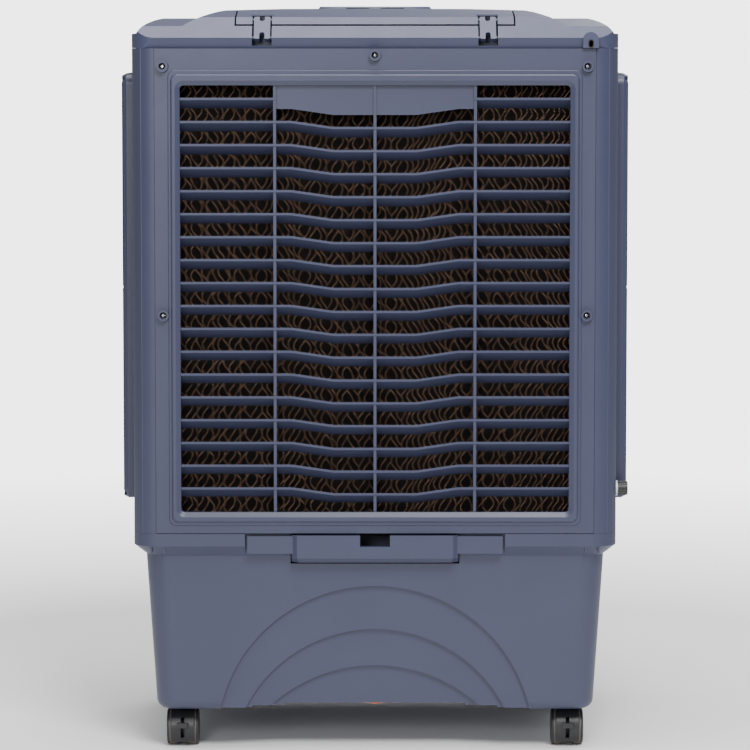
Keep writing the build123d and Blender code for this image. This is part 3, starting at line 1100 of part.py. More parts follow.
# A caster at the origin: stem axis on Z, wheels trailing towards +Y.
with BuildPart() as caster_hood:
    rod_along_x(HOOD_R, -HOOD_W / 2, HOOD_W / 2, TRAIL, WHEEL_R + 0.5)
    fillet(caster_hood.edges().filter_by(GeomType.CIRCLE), 1.2)
    rod_along_x(HOOD_R - 2, -HOOD_W / 2 - 1, HOOD_W / 2 + 1, TRAIL, WHEEL_R + 0.5, mode=Mode.SUBTRACT)
    box_between((-30, -40, -5), (30, 60, HOOD_LOW_Z), Mode.SUBTRACT)
    box_between((-30, -40, -5), (30, TRAIL, WHEEL_R), Mode.SUBTRACT)
    rod_along_x(WHEEL_R - 1.5, -WEB_T / 2, WEB_T / 2, TRAIL, WHEEL_R + 0.5)
    box_between((-WEB_T / 2, 0, WHEEL_R - 4), (WEB_T / 2, TRAIL, WHEEL_R + HOOD_R - 1))
    rod_along_z(11, 28, stem_low_z, 0, 0)
    rod_along_x(WHEEL_R + 0.6, WEB_T / 2 + 0.4, HOOD_W / 2 + 1, TRAIL, WHEEL_R, mode=Mode.SUBTRACT)
    rod_along_x(WHEEL_R + 0.6, -HOOD_W / 2 - 1, -WEB_T / 2 - 0.4, TRAIL, WHEEL_R, mode=Mode.SUBTRACT)
    # Slot through the web and the hood's back for the brake lever, with its pin.
    box_between((-2.4, TRAIL + 5, 12), (2.4, TRAIL + 40, WHEEL_R + 15), Mode.SUBTRACT)
    rod_along_x(3 + RUNNING, -30, 30, TRAIL, WHEEL_R, mode=Mode.SUBTRACT)
    rod_along_x(1.5, -WEB_T / 2, WEB_T / 2, TRAIL + LEVER_PIVOT_Y, LEVER_PIVOT_Z)
    rod_along_z(STEM_R, stem_low_z - 2, STEM_TOP_Z, 0, 0)

with BuildPart() as caster_wheels:
    tread_in_x, tread_out_x = WHEEL_GAP / 2, WHEEL_GAP / 2 + TREAD_W
    for side in (-1, 1):
        rod_along_x(WHEEL_R, *sorted((side * tread_in_x, side * tread_out_x)), TRAIL, WHEEL_R)
        rod_along_x(DISC_R, *sorted((side * tread_in_x, side * (tread_out_x + DISC_T))), TRAIL, WHEEL_R)
    wheel_rims = caster_wheels.edges().filter_by(GeomType.CIRCLE).group_by(Axis.X)
    chamfer(wheel_rims[0] + wheel_rims[-1], 1.2)
    rod_along_x(3, -tread_in_x - 8, tread_in_x + 8, TRAIL, WHEEL_R)

for index, (x, y) in enumerate(CASTERS):
    with BuildPart() as caster:
        add(caster_hood.part.moved(Location((x, y, 0))))
    save(caster, f"caster_{index + 1}")
    with BuildPart() as wheels:
        add(caster_wheels.part.moved(Location((x, y, 0))))
    save(wheels, f"wheels_{index + 1}")

with BuildPart() as one_lever:
    with BuildSketch(Plane.YZ.offset(-2)):
        with BuildLine():
            Polyline(
                (TRAIL + 7, LEVER_PIVOT_Z - 2),
                (TRAIL + 9, LEVER_PIVOT_Z + 2.6),
                (TRAIL + 32, 33),
                (TRAIL + 32, 27),
                (TRAIL + 24, 26),
                close=True,
            )
        make_face()
    extrude(amount=4)
    box_between((-7, TRAIL + 29, 26.5), (7, TRAIL + 34, 33))
    rod_along_x(1.5 + RUNNING, -5, 5, TRAIL + LEVER_PIVOT_Y, LEVER_PIVOT_Z, mode=Mode.SUBTRACT)

for index, (x, y) in enumerate(CASTERS[:2]):
    with BuildPart() as brake_lever:
        add(one_lever.part.moved(Location((x, y, 0))))
    save(brake_lever, f"brake_lever_{index + 1}")
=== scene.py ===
"""Evaporative cooler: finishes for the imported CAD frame, its wet pads, its dust nets and a stage.

Laid out as an add-on: one operator for each piece or group of like pieces, one for the stage.
Lengths are metres. +Z is up, -Y the air outlet and +Y the rear intake side.
"""

import math

import bmesh
import bpy
import numpy as np
from bpy.props import FloatProperty, FloatVectorProperty, IntProperty, PointerProperty
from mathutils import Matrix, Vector


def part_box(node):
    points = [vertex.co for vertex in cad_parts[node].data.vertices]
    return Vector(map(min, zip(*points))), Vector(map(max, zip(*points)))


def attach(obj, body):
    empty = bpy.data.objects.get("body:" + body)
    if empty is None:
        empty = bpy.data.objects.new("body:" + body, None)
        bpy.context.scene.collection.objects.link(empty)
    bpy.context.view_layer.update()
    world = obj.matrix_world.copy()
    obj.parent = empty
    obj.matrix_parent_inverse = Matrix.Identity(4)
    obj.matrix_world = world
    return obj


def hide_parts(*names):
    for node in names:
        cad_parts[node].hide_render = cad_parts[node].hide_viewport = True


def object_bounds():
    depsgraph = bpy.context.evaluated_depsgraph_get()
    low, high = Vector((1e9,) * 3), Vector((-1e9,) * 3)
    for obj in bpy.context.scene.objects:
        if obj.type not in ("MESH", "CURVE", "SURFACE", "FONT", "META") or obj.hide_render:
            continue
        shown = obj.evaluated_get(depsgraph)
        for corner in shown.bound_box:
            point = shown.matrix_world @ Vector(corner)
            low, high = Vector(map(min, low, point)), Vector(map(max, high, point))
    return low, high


bl_info = {
    "name": "Evaporative cooler finish",
    "version": (1, 0, 0),
    "blender": (4, 5, 0),
    "location": "3D View > Sidebar > Cooler",
    "description": "Gives an evaporative cooler frame its finishes, wet pads, dust nets and a stage",
    "category": "Object",
}

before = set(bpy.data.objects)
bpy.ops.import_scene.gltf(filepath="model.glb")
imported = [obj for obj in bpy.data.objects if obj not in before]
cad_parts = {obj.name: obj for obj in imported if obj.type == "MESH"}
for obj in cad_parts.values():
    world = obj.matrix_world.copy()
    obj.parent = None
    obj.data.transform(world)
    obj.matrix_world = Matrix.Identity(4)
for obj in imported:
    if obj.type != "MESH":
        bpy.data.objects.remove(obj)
CAD_BOX = [[float(v) for v in corner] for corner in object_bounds()]
PAD_LOW, PAD_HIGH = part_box("rear_pad")
PAPER_THICKNESS = 0.0015
SHEET_SWING = 0.56  # half the width of a sheet's wave, in sheet spacings
SIDE_NET_THICKNESS = 0.001
WHEEL_PAIR_HALF = 0.0205
TREAD_HALF = 0.0171  # where the tread ends, from the middle of the pair
FLOOR_RADIUS = 3.0
FADE_START, FADE_END = 1.0, 2.8  # radii between which the floor fades into the backdrop


# ---- Sizes and colours that a user would change -------------------------------------------------
class CoolerPlastics(bpy.types.PropertyGroup):
    """Colours of the mouldings."""

    cabinet: FloatVectorProperty(
        name="Cabinet", description="Colour of the cabinet and tub plastic", subtype="COLOR",
        default=(0.036, 0.041, 0.080), min=0.0, max=1.0,
    )
    # Painted light: a slightly lighter copy of the cabinet colour, standing for the top light on the cover
    # and lid.
    cover: FloatVectorProperty(
        name="Top cover", description="Colour of the top cover and lid plastic", subtype="COLOR",
        default=(0.040, 0.046, 0.092), min=0.0, max=1.0,
    )
    white: FloatVectorProperty(
        name="Inner parts", description="Colour of the pale inner mouldings", subtype="COLOR",
        default=(0.62, 0.64, 0.66), min=0.0, max=1.0,
    )
    black: FloatVectorProperty(
        name="Black parts", description="Colour of the black mouldings", subtype="COLOR",
        default=(0.012, 0.012, 0.014), min=0.0, max=1.0,
    )
    plug: FloatVectorProperty(
        name="Drain plug", description="Colour of the drain plug", subtype="COLOR",
        default=(0.78, 0.20, 0.06), min=0.0, max=1.0,
    )
    grain: FloatProperty(
        name="Moulding grain", description="Size of the fine grain on the mouldings", subtype="DISTANCE",
        unit="LENGTH", default=0.0008, min=0.0001, max=0.01,
    )


class CoolerPads(bpy.types.PropertyGroup):
    """Sizes and colour of the corrugated wet pads."""

    # Painted shade: the sheets' faces get this colour, far darker than their cut edges, to stand for the
    # shade in the pad's hollows.
    paper_painted_shade: FloatVectorProperty(
        name="Paper", description="Colour of the cellulose sheets", subtype="COLOR",
        default=(0.080, 0.042, 0.024), min=0.0, max=1.0,
    )
    # The cut edges' pale colour is partly the paler cut paper and partly painted light on the edges that
    # catch the lamps.
    cut: FloatVectorProperty(
        name="Cut edges", description="Colour of the sheets' cut edges", subtype="COLOR",
        default=(0.64, 0.38, 0.25), min=0.0, max=1.0,
    )
    spacing: FloatProperty(
        name="Sheet spacing", description="Distance between neighbouring corrugated sheets",
        unit="LENGTH", default=0.0068, min=0.003, max=0.02,
    )
    wavelength: FloatProperty(
        name="Flute length", description="Distance from one flute to the next along a sheet",
        unit="LENGTH", default=0.031, min=0.005, max=0.05,
    )
    slant: FloatProperty(
        name="Flute slant", description="Angle of the flutes to the air stream", subtype="ANGLE",
        default=math.radians(38), min=0.0, max=1.2,
    )
    seed: IntProperty(name="Seed", description="Seed for the sheets' small irregularities", default=7)


class CoolerNets(bpy.types.PropertyGroup):
    """Sizes of the dust nets."""

    pitch_x: FloatProperty(
        name="Mesh width", description="Width of one diamond of the net", unit="LENGTH", default=0.0030,
        min=0.001, max=0.03,
    )
    pitch_z: FloatProperty(
        name="Mesh height", description="Height of one diamond of the net", unit="LENGTH", default=0.0035,
        min=0.001, max=0.03,
    )
    strand: FloatProperty(
        name="Strand", description="Width of one strand", unit="LENGTH", default=0.0010,
        min=0.0002, max=0.003,
    )


class CoolerStage(bpy.types.PropertyGroup):
    """Camera and light."""

    distance: FloatProperty(
        name="Camera distance", description="From the camera to the rear face", unit="LENGTH", default=4.5,
    )
    height: FloatProperty(
        name="Camera height", description="Height of the camera over the floor", unit="LENGTH", default=0.910,
    )
    aim: FloatProperty(
        name="Aim height", description="Height on the rear face that the camera looks at", unit="LENGTH",
        default=0.5456,
    )
    lens: FloatProperty(name="Lens", description="Focal length in millimetres", default=170.9)
    backdrop: FloatProperty(name="Backdrop", description="Brightness of the backdrop as seen", default=4.0)
    ambient: FloatProperty(name="Ambient", description="Brightness of the light from all round", default=0.4)
    shift: FloatProperty(name="Shift", description="Upright shift of the lens", default=-0.06)


# ---- Helpers ------------------------------------------------------------------------------------
def link(name, mesh, body, materials):
    """Makes an object of a mesh, gives it its materials and lets it ride on a body."""
    piece = bpy.data.objects.new(name, mesh)
    bpy.context.scene.collection.objects.link(piece)
    for material in materials:
        mesh.materials.append(material)
    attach(piece, body)
    return piece


def mesh_from_arrays(name, points, quads, smooth=True, slots=None):
    """A mesh from numpy arrays of points and of four-cornered faces, with each face's material slot."""
    mesh = bpy.data.meshes.new(name)
    mesh.vertices.add(len(points))
    mesh.vertices.foreach_set("co", np.asarray(points, np.float32).ravel())
    mesh.loops.add(4 * len(quads))
    mesh.loops.foreach_set("vertex_index", np.asarray(quads, np.int32).ravel())
    mesh.polygons.add(len(quads))
    mesh.polygons.foreach_set("loop_start", np.arange(0, 4 * len(quads), 4, dtype=np.int32))
    mesh.polygons.foreach_set("use_smooth", np.full(len(quads), smooth))
    if slots is not None:
        mesh.polygons.foreach_set("material_index", slots)
    mesh.update(calc_edges=True)
    mesh.validate()
    return mesh


def node_material(name):
    """An empty node material with a Principled shader, and a short way to add nodes to it."""
    material = bpy.data.materials.new(name)
    material.use_nodes = True
    tree = material.node_tree
    shader = tree.nodes["Principled BSDF"]

    def add(kind, **values):
        node = tree.nodes.new(kind)
        for key, value in values.items():
            if key in node.inputs:
                node.inputs[key].default_value = value
            else:
                setattr(node, key, value)
        return node

    return material, tree, shader, add


def shade(colour, factor):
    """A colour made lighter or darker, as red, green, blue and alpha."""
    return tuple(min(1.0, c * factor) for c in colour[:3]) + (1.0,)


def moulded_plastic(name, colour, roughness, grain, relief=0.05, coat=0.0, mottling=0.05):
    """Injection-moulded plastic: faint cloudiness in its colour, uneven gloss and a fine spark grain."""
    material, tree, shader, add = node_material(name)
    place = add("ShaderNodeTexCoord")
    cloud = add("ShaderNodeTexNoise", Scale=7.0, Detail=4.0, Roughness=0.55)
    tree.links.new(place.outputs["Object"], cloud.inputs["Vector"])
    tint = add("ShaderNodeValToRGB")
    tint.color_ramp.elements[0].position = 0.3
    tint.color_ramp.elements[0].color = shade(colour, 1.0 - mottling)
    tint.color_ramp.elements[1].position = 0.7
    tint.color_ramp.elements[1].color = shade(colour, 1.0 + mottling)
    tree.links.new(cloud.outputs["Fac"], tint.inputs["Fac"])
    tree.links.new(tint.outputs["Color"], shader.inputs["Base Color"])
    sheen_map = add("ShaderNodeMapRange")
    sheen_map.inputs["To Min"].default_value = roughness - 0.05
    sheen_map.inputs["To Max"].default_value = roughness + 0.06
    wear = add("ShaderNodeTexNoise", Scale=38.0, Detail=5.0, Roughness=0.6)
    tree.links.new(place.outputs["Object"], wear.inputs["Vector"])
    tree.links.new(wear.outputs["Fac"], sheen_map.inputs["Value"])
    tree.links.new(sheen_map.outputs["Result"], shader.inputs["Roughness"])
    sparks = add("ShaderNodeTexNoise", Scale=1.0 / grain, Detail=2.0, Roughness=0.5)
    tree.links.new(place.outputs["Object"], sparks.inputs["Vector"])
    bump = add("ShaderNodeBump", Strength=relief, Distance=0.0004)
    tree.links.new(sparks.outputs["Fac"], bump.inputs["Height"])
    tree.links.new(bump.outputs["Normal"], shader.inputs["Normal"])
    shader.inputs["Coat Weight"].default_value = coat
    shader.inputs["Coat Roughness"].default_value = 0.2
    return material


def bare_metal(name, colour, roughness, stretch):
    """Turned or drawn metal, with its fine lines stretched along one axis."""
    material, tree, shader, add = node_material(name)
    place = add("ShaderNodeTexCoord")
    spread = add("ShaderNodeMapping")
    spread.inputs["Scale"].default_value = stretch
    tree.links.new(place.outputs["Object"], spread.inputs["Vector"])
    lines = add("ShaderNodeTexNoise", Scale=900.0, Detail=3.0, Roughness=0.6)
    tree.links.new(spread.outputs["Vector"], lines.inputs["Vector"])
    gloss = add("ShaderNodeMapRange")
    gloss.inputs["To Min"].default_value = roughness * 0.7
    gloss.inputs["To Max"].default_value = roughness * 1.4
    tree.links.new(lines.outputs["Fac"], gloss.inputs["Value"])
    tree.links.new(gloss.outputs["Result"], shader.inputs["Roughness"])
    tint = add("ShaderNodeValToRGB")
    tint.color_ramp.elements[0].color = shade(colour, 0.9)
    tint.color_ramp.elements[1].color = shade(colour, 1.06)
    tree.links.new(lines.outputs["Fac"], tint.inputs["Fac"])
    tree.links.new(tint.outputs["Color"], shader.inputs["Base Color"])
    shader.inputs["Metallic"].default_value = 1.0
    return material


def twin_wheel(name, tread, disc):
    """A caster wheel pair: pale treads round the rims, black hub discs outside them."""
    material, tree, shader, add = node_material(name)
    place = add("ShaderNodeTexCoord")
    across = add("ShaderNodeSeparateXYZ")
    tree.links.new(place.outputs["Generated"], across.inputs[0])
    facing = add("ShaderNodeSeparateXYZ")
    tree.links.new(place.outputs["Normal"], facing.inputs[0])
    on_tread = add("ShaderNodeMath", operation="COMPARE")
    on_tread.inputs[1].default_value = 0.5
    on_tread.inputs[2].default_value = 0.5 * TREAD_HALF / WHEEL_PAIR_HALF
    tree.links.new(across.outputs["X"], on_tread.inputs[0])
    on_rim = add("ShaderNodeMath", operation="COMPARE")
    on_rim.inputs[1].default_value = 0.0
    on_rim.inputs[2].default_value = 0.5
    tree.links.new(facing.outputs["X"], on_rim.inputs[0])
    both = add("ShaderNodeMath", operation="MULTIPLY")
    tree.links.new(on_tread.outputs[0], both.inputs[0])
    tree.links.new(on_rim.outputs[0], both.inputs[1])
    scuffs = add("ShaderNodeTexNoise", Scale=300.0, Detail=4.0, Roughness=0.6)
    tree.links.new(place.outputs["Object"], scuffs.inputs["Vector"])
    worn = add("ShaderNodeValToRGB")
    worn.color_ramp.elements[0].color = shade(tread, 0.7)
    worn.color_ramp.elements[1].color = shade(tread, 1.2)
    tree.links.new(scuffs.outputs["Fac"], worn.inputs["Fac"])
    blend = add("ShaderNodeMix", data_type="RGBA")
    blend.inputs[6].default_value = shade(disc, 1.0)
    tree.links.new(both.outputs[0], blend.inputs[0])
    tree.links.new(worn.outputs["Color"], blend.inputs[7])
    tree.links.new(blend.outputs[2], shader.inputs["Base Color"])
    shader.inputs["Roughness"].default_value = 0.5
    return material


def wet_paper(name, colour):
    """Resin-stiffened cellulose: fibres and water stains. Darker hollows are painted shade: the sheets' faces
    get a much darker colour than their cut edges.
    """
    material, tree, shader, add = node_material(name)
    place = add("ShaderNodeTexCoord")
    fibres = add("ShaderNodeTexNoise", Scale=420.0, Detail=6.0, Roughness=0.7)
    stains = add("ShaderNodeTexNoise", Scale=22.0, Detail=3.0, Roughness=0.6)
    for texture in (fibres, stains):
        tree.links.new(place.outputs["Object"], texture.inputs["Vector"])
    blend = add("ShaderNodeMix", data_type="FLOAT")
    blend.inputs[0].default_value = 0.45
    tree.links.new(fibres.outputs["Fac"], blend.inputs[2])
    tree.links.new(stains.outputs["Fac"], blend.inputs[3])
    tint = add("ShaderNodeValToRGB")
    tint.color_ramp.elements[0].position = 0.25
    tint.color_ramp.elements[0].color = shade(colour, 0.55)
    tint.color_ramp.elements[1].position = 0.75
    tint.color_ramp.elements[1].color = shade(colour, 1.5)
    tree.links.new(blend.outputs[0], tint.inputs["Fac"])
    tree.links.new(tint.outputs["Color"], shader.inputs["Base Color"])
    bump = add("ShaderNodeBump", Strength=0.5, Distance=0.0003)
    tree.links.new(fibres.outputs["Fac"], bump.inputs["Height"])
    tree.links.new(bump.outputs["Normal"], shader.inputs["Normal"])
    shader.inputs["Roughness"].default_value = 0.78
    return material


def dress(material, *nodes):
    """Gives CAD nodes their finish."""
    for node in nodes:
        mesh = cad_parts[node].data
        mesh.materials.clear()
        mesh.materials.append(material)


def corrugated_pad(name, low, high, across, settings, materials, replaced, body="root"):
    """A block of corrugated sheets with crossing flutes. across is the axis they are stacked along.

    The other level axis is the depth, and its end next to the net is the one further from the middle.
    The first material is for the sheets' faces, the second for their cut edges.
    """
    spacing, wave = settings.spacing, settings.wavelength
    climb = math.tan(settings.slant)
    depth_axis = 1 - across
    outside_high = abs(high[depth_axis]) > abs(low[depth_axis])
    outer = high if outside_high else low
    thickness = high[depth_axis] - low[depth_axis]
    inward = -1 if outside_high else 1
    count = int((high[across] - low[across]) / spacing)
    spacing = (high[across] - low[across]) / count
    rng = np.random.default_rng(settings.seed)
    steps = np.array([0, 0.05, 0.11, 0.18, 0.27, 0.38, 0.52, 0.68, 0.84, 1.0])
    depths = outer[depth_axis] + inward * steps * thickness
    heights = np.arange(low[2] + 0.0005, high[2] - 0.0005, wave / 14)
    paper_half = PAPER_THICKNESS / 2
    points, quads, slots, start = [], [], [], 0
    h, d = np.meshgrid(heights, depths, indexing="ij")
    rows, columns = h.shape
    index = np.arange(rows * columns).reshape(rows, columns)
    for sheet in range(count):
        centre = low[across] + spacing * (sheet + 0.5)
        turn = 1 if sheet % 2 else -1
        phase = 2 * math.pi * rng.random() * 0.35 + (math.pi * 0.5 if sheet % 4 > 1 else 0)
        wobble = 1 + 0.05 * (rng.random() - 0.5)
        travel = np.abs(d - outer[depth_axis])
        angle = 2 * math.pi * (h + turn * climb * travel) / wave + phase
        drift = 0.0004 * np.sin(h * 23 + sheet)
        swing = spacing * SHEET_SWING * wobble
        place = centre + drift + swing * np.sin(angle)
        place = np.clip(place, low[across] + 2 * paper_half, high[across] - 2 * paper_half)
        lean = np.abs(np.cos(angle))
        half = paper_half * (1 + 0.6 * lean)
        for side in (-1, 1):
            grid = np.zeros((rows, columns, 3))
            grid[..., across] = place + side * half
            grid[..., depth_axis] = d
            grid[..., 2] = h
            points.append(grid.reshape(-1, 3))
        front = index + start
        back = index + start + rows * columns
        start += 2 * rows * columns
        a, b, c, e = front[:-1, :-1], front[1:, :-1], front[1:, 1:], front[:-1, 1:]
        quads.append(np.stack([a, b, c, e], -1).reshape(-1, 4))
        slots.append(np.zeros(2 * len(quads[-1]), np.int32))
        a, b, c, e = back[:-1, :-1], back[:-1, 1:], back[1:, 1:], back[1:, :-1]
        quads.append(np.stack([a, b, c, e], -1).reshape(-1, 4))
        for edge in (0, columns - 1):
            a, b = front[:-1, edge], front[1:, edge]
            c, e = back[1:, edge], back[:-1, edge]
            quads.append(np.stack([a, e, c, b] if edge == 0 else [a, b, c, e], -1))
            slots.append(np.ones(len(quads[-1]), np.int32))
        for edge in (0, rows - 1):
            a, b = front[edge, :-1], front[edge, 1:]
            c, e = back[edge, 1:], back[edge, :-1]
            quads.append(np.stack([a, b, c, e] if edge == 0 else [a, e, c, b], -1))
            slots.append(np.ones(len(quads[-1]), np.int32))
    mesh = mesh_from_arrays(name, np.concatenate(points), np.concatenate(quads), slots=np.concatenate(slots))
    pad = link(name, mesh, body, materials)
    if replaced:
        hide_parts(replaced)
    return pad


def crossed_net(name, low, high, across, settings, material, replaced, body="root"):
    """A flat net of two layers of slanting strands. across is the level axis that it spans."""
    flat_axis = 1 - across
    columns = round((high[across] - low[across]) / settings.pitch_x)
    rows = round((high[2] - low[2]) / settings.pitch_z)
    pitch_x = (high[across] - low[across]) / columns
    pitch_z = (high[2] - low[2]) / rows
    middle = (low[flat_axis] + high[flat_axis]) / 2
    thick = 0.00035
    steep = math.hypot(pitch_x, pitch_z)
    strand = np.arange(1 - rows, columns)
    heights = np.stack([np.maximum(0, -strand), np.minimum(rows, columns - strand)], -1)
    box = np.array([[0, 1, 5, 4], [2, 6, 7, 3], [0, 4, 6, 2], [1, 3, 7, 5], [0, 2, 3, 1], [4, 5, 7, 6]])
    points, quads = [], []
    for layer, lean in ((0, 1), (1, -1)):
        along = strand[:, None] + heights
        if lean < 0:
            along = columns - along
        # Each strand has two ends, two edges and two faces.
        corners = np.zeros((len(strand), 2, 2, 2, 3))
        for edge, side in ((0, -settings.strand / 2), (1, settings.strand / 2)):
            for face in (0, 1):
                corners[:, :, edge, face, across] = low[across] + along * pitch_x + side * pitch_z / steep
                corners[:, :, edge, face, 2] = low[2] + heights * pitch_z - lean * side * pitch_x / steep
                corners[:, :, edge, face, flat_axis] = middle + (layer + face - 1) * thick
        points.append(corners.reshape(-1, 3))
        starts = 8 * (np.arange(len(strand)) + layer * len(strand))
        quads.append((box[None] + starts[:, None, None]).reshape(-1, 4))
    mesh = mesh_from_arrays(name, np.concatenate(points), np.concatenate(quads), smooth=False)
    net = link(name, mesh, body, [material])
    if replaced:
        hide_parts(replaced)
    return net


def numbered(stem, count):
    """The node names stem_1, stem_2 and so on."""
    return [f"{stem}_{index + 1}" for index in range(count)]


# ---- Pieces -------------------------------------------------------------------------------------
class COOLER_OT_mouldings(bpy.types.Operator):
    """Gives every CAD moulding and metal part its finish"""

    bl_idname = "cooler.mouldings"
    bl_label = "Finish the mouldings"

    def execute(self, context):
        colours = context.scene.cooler_plastics
        grain = colours.grain
        dress(
            moulded_plastic("cabinet_plastic", colours.cabinet, 0.42, grain),
            "cabinet", "rear_grille", "front_bezel", "water_tank", "fill_drawer",
            "left_grille", "right_grille",
        )
        # The top cover and lid get the cabinet plastic made slightly lighter: painted light from above.
        dress(
            moulded_plastic("cover_plastic", colours.cover, 0.42, grain), "top_cover", "lid", "hinge_links"
        )
        dress(
            moulded_plastic("black_plastic", colours.black, 0.38, grain),
            "connector_cap", "control_panel", "fan_shroud", "motor_bracket",
            *numbered("caster", 4), *numbered("brake_lever", 2),
        )
        dress(
            moulded_plastic("rubber_black", (0.014, 0.014, 0.014), 0.72, grain, 0.2),
            "cord_bush", "riser_hose",
        )
        dress(twin_wheel("wheel", (0.11, 0.098, 0.085), colours.black), *numbered("wheels", 4))
        dress(moulded_plastic("plug_orange", colours.plug, 0.35, grain), "drain_plug")
        dress(
            moulded_plastic("white_plastic", colours.white, 0.4, grain),
            "water_distributor", "ice_tray", "float_valve", "float_arm", "switch_bodies", "swing_motor",
            "hose_connector", "louvre_link", "vane_link", *numbered("louvre", 6), *numbered("vane", 5),
        )
        dress(moulded_plastic("fan_plastic", (0.28, 0.36, 0.42), 0.25, grain, 0.02), "fan_rotor")
        dress(moulded_plastic("pump_plastic", (0.02, 0.05, 0.14), 0.4, grain), "water_pump")
        dress(moulded_plastic("knob_plastic", (0.55, 0.56, 0.58), 0.22, grain, 0.02), *numbered("knob", 3))
        dress(moulded_plastic("motor_paint", (0.02, 0.02, 0.022), 0.35, grain, 0.1), "fan_motor")
        dress(moulded_plastic("guard_paint", (0.03, 0.03, 0.032), 0.3, grain, 0.02), "fan_guard")
        dress(bare_metal("turned_steel", (0.55, 0.55, 0.56), 0.3, (1, 0.1, 1)), "motor_shaft")
        dress(bare_metal("screw_chrome", (0.72, 0.72, 0.73), 0.16, (1, 1, 1)), "grille_screws")
        return {"FINISHED"}


class COOLER_OT_pads(bpy.types.Operator):
    """Builds the three corrugated wet pads"""

    bl_idname = "cooler.pads"
    bl_label = "Build the wet pads"

    def execute(self, context):
        settings = context.scene.cooler_pads
        # The dark face colour paints the shade in the pad's hollows. The pale cut-edge colour is paler cut
        # paper and also paints part of the light on the edges.
        paper_painted_shade = [wet_paper("cellulose", settings.paper_painted_shade), wet_paper("cut_cellulose_painted_light", settings.cut)]
        corrugated_pad("wet_pad_rear", PAD_LOW, PAD_HIGH, 0, settings, paper_painted_shade, "rear_pad")
        low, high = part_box("side_pads")
        depth = PAD_HIGH[1] - PAD_LOW[1]
        corrugated_pad(
            "wet_pad_left", low, (low[0] + depth, high[1], high[2]), 1, settings, paper_painted_shade, "side_pads"
        )
        corrugated_pad(
            "wet_pad_right", (high[0] - depth, low[1], low[2]), high, 1, settings, paper_painted_shade, None
        )
        return {"FINISHED"}


class COOLER_OT_nets(bpy.types.Operator):
    """Builds the dust nets in front of the pads"""

    bl_idname = "cooler.nets"
    bl_label = "Build the dust nets"

    def execute(self, context):
        settings = context.scene.cooler_nets
        strand = moulded_plastic("net_strand", (0.006, 0.005, 0.005), 0.8, 0.0006)
        strand.node_tree.nodes["Principled BSDF"].inputs["Specular IOR Level"].default_value = 0.1
        crossed_net("dust_net_rear", *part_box("rear_net"), 0, settings, strand, "rear_net")
        low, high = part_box("side_nets")
        crossed_net(
            "dust_net_left", low, (low[0] + SIDE_NET_THICKNESS, high[1], high[2]),
            1, settings, strand, "side_nets",
        )
        crossed_net(
            "dust_net_right", (high[0] - SIDE_NET_THICKNESS, low[1], low[2]), high,
            1, settings, strand, None,
        )
        return {"FINISHED"}


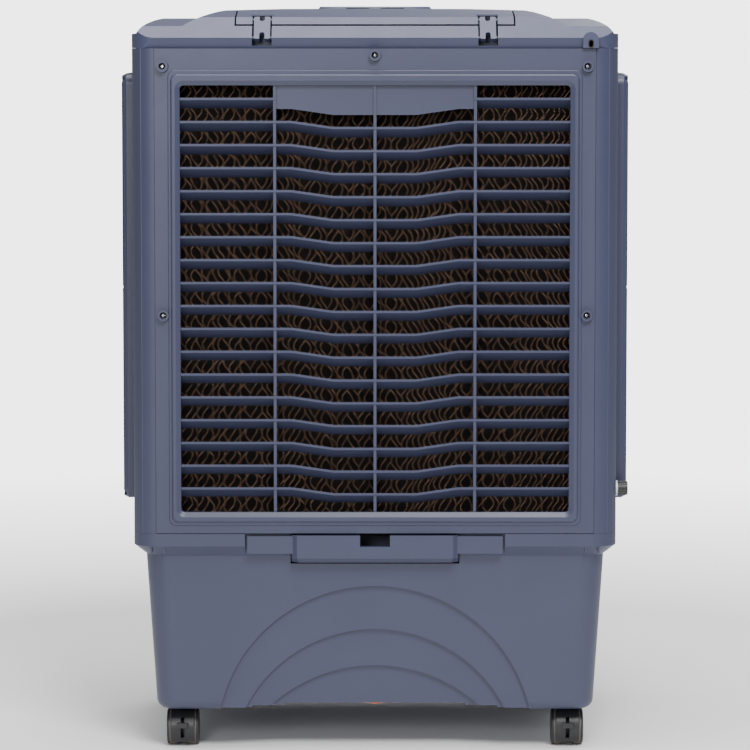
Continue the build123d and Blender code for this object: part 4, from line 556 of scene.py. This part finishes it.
class COOLER_OT_stage(bpy.types.Operator):
    """Makes the floor, the lights and the camera"""

    bl_idname = "cooler.stage"
    bl_label = "Set the stage"

    def execute(self, context):
        scene = context.scene
        values = scene.cooler_stage
        ground = bmesh.new()
        bmesh.ops.create_circle(ground, cap_ends=True, segments=96, radius=FLOOR_RADIUS)
        mesh = bpy.data.meshes.new("floor")
        ground.to_mesh(mesh)
        ground.free()
        floor = bpy.data.objects.new("floor", mesh)
        scene.collection.objects.link(floor)
        material, tree, shader, add = node_material("pale_floor")
        grain = add("ShaderNodeTexNoise", Scale=3.0, Detail=3.0)
        tint = add("ShaderNodeValToRGB")
        tint.color_ramp.elements[0].color = (0.90, 0.90, 0.90, 1)
        tint.color_ramp.elements[1].color = (0.94, 0.94, 0.94, 1)
        tree.links.new(grain.outputs["Fac"], tint.inputs["Fac"])
        tree.links.new(tint.outputs["Color"], shader.inputs["Base Color"])
        shader.inputs["Roughness"].default_value = 0.8
        # The floor fades into the backdrop away from the middle.
        place = add("ShaderNodeTexCoord")
        radius = add("ShaderNodeVectorMath", operation="LENGTH")
        tree.links.new(place.outputs["Object"], radius.inputs[0])
        fade = add("ShaderNodeMapRange")
        fade.inputs["From Min"].default_value = FADE_START
        fade.inputs["From Max"].default_value = FADE_END
        fade.inputs["To Min"].default_value = 1.0
        fade.inputs["To Max"].default_value = 0.0
        tree.links.new(radius.outputs["Value"], fade.inputs["Value"])
        tree.links.new(fade.outputs["Result"], shader.inputs["Alpha"])
        mesh.materials.append(material)

        world = bpy.data.worlds.new("studio") if scene.world is None else scene.world
        scene.world = world
        world.use_nodes = True
        sky = world.node_tree
        sky.nodes["Background"].inputs["Color"].default_value = (1, 1, 1, 1)
        # The backdrop is seen bright, and lights the cooler only faintly.
        rays = sky.nodes.new("ShaderNodeLightPath")
        brightness = sky.nodes.new("ShaderNodeMath")
        brightness.operation = "MULTIPLY_ADD"
        brightness.inputs[1].default_value = values.backdrop - values.ambient
        brightness.inputs[2].default_value = values.ambient
        sky.links.new(rays.outputs["Is Camera Ray"], brightness.inputs[0])
        sky.links.new(brightness.outputs[0], sky.nodes["Background"].inputs["Strength"])
        lamps = (
            ("key", (-0.7, 2.5, 2.9), 1.2, 120),
            ("fill", (0.9, 4.4, 1.5), 1.0, 62),
            ("top", (0.2, 0.4, 3.4), 1.8, 95),
            ("front", (-1.4, -3.0, 2.6), 2.0, 50),
        )
        middle = Vector((0, 0, 0.5))
        for name, place, size, power in lamps:
            data = bpy.data.lights.new(name, "AREA")
            data.size = size
            data.energy = power
            lamp = bpy.data.objects.new(name, data)
            lamp.location = place
            lamp.rotation_euler = (middle - Vector(place)).to_track_quat("-Z", "Y").to_euler()
            scene.collection.objects.link(lamp)

        data = bpy.data.cameras.new("camera")
        data.lens = values.lens
        data.sensor_width = 36.0
        camera = bpy.data.objects.new("camera", data)
        scene.collection.objects.link(camera)
        high = Vector(CAD_BOX[1])
        data.shift_y = values.shift
        camera.location = (0, high.y + values.distance, values.height)
        aim = Vector((0, high.y, values.aim))
        camera.rotation_euler = (aim - camera.location).to_track_quat("-Z", "Y").to_euler()
        scene.camera = camera
        return {"FINISHED"}


class COOLER_PT_panel(bpy.types.Panel):
    """Lists the cooler's pieces"""

    bl_idname = "COOLER_PT_panel"
    bl_label = "Evaporative cooler"
    bl_space_type = "VIEW_3D"
    bl_region_type = "UI"
    bl_category = "Cooler"

    def draw(self, context):
        for operator in OPERATORS:
            self.layout.operator(operator.bl_idname)
        for group in ("cooler_plastics", "cooler_pads", "cooler_nets", "cooler_stage"):
            settings = getattr(context.scene, group)
            column = self.layout.column()
            for name in settings.__annotations__:
                column.prop(settings, name)


GROUPS = {
    "cooler_plastics": CoolerPlastics,
    "cooler_pads": CoolerPads,
    "cooler_nets": CoolerNets,
    "cooler_stage": CoolerStage,
}
OPERATORS = (COOLER_OT_mouldings, COOLER_OT_pads, COOLER_OT_nets, COOLER_OT_stage)


def register():
    for name, group in GROUPS.items():
        bpy.utils.register_class(group)
        setattr(bpy.types.Scene, name, PointerProperty(type=group))
    for shown in (*OPERATORS, COOLER_PT_panel):
        bpy.utils.register_class(shown)


def unregister():
    for shown in (COOLER_PT_panel, *reversed(OPERATORS)):
        bpy.utils.unregister_class(shown)
    for name, group in GROUPS.items():
        delattr(bpy.types.Scene, name)
        bpy.utils.unregister_class(group)


def main():
    """Makes every piece in order."""
    register()
    for operator in OPERATORS:
        group, name = operator.bl_idname.split(".")
        getattr(getattr(bpy.ops, group), name)()


if __name__ == "__main__":
    main()
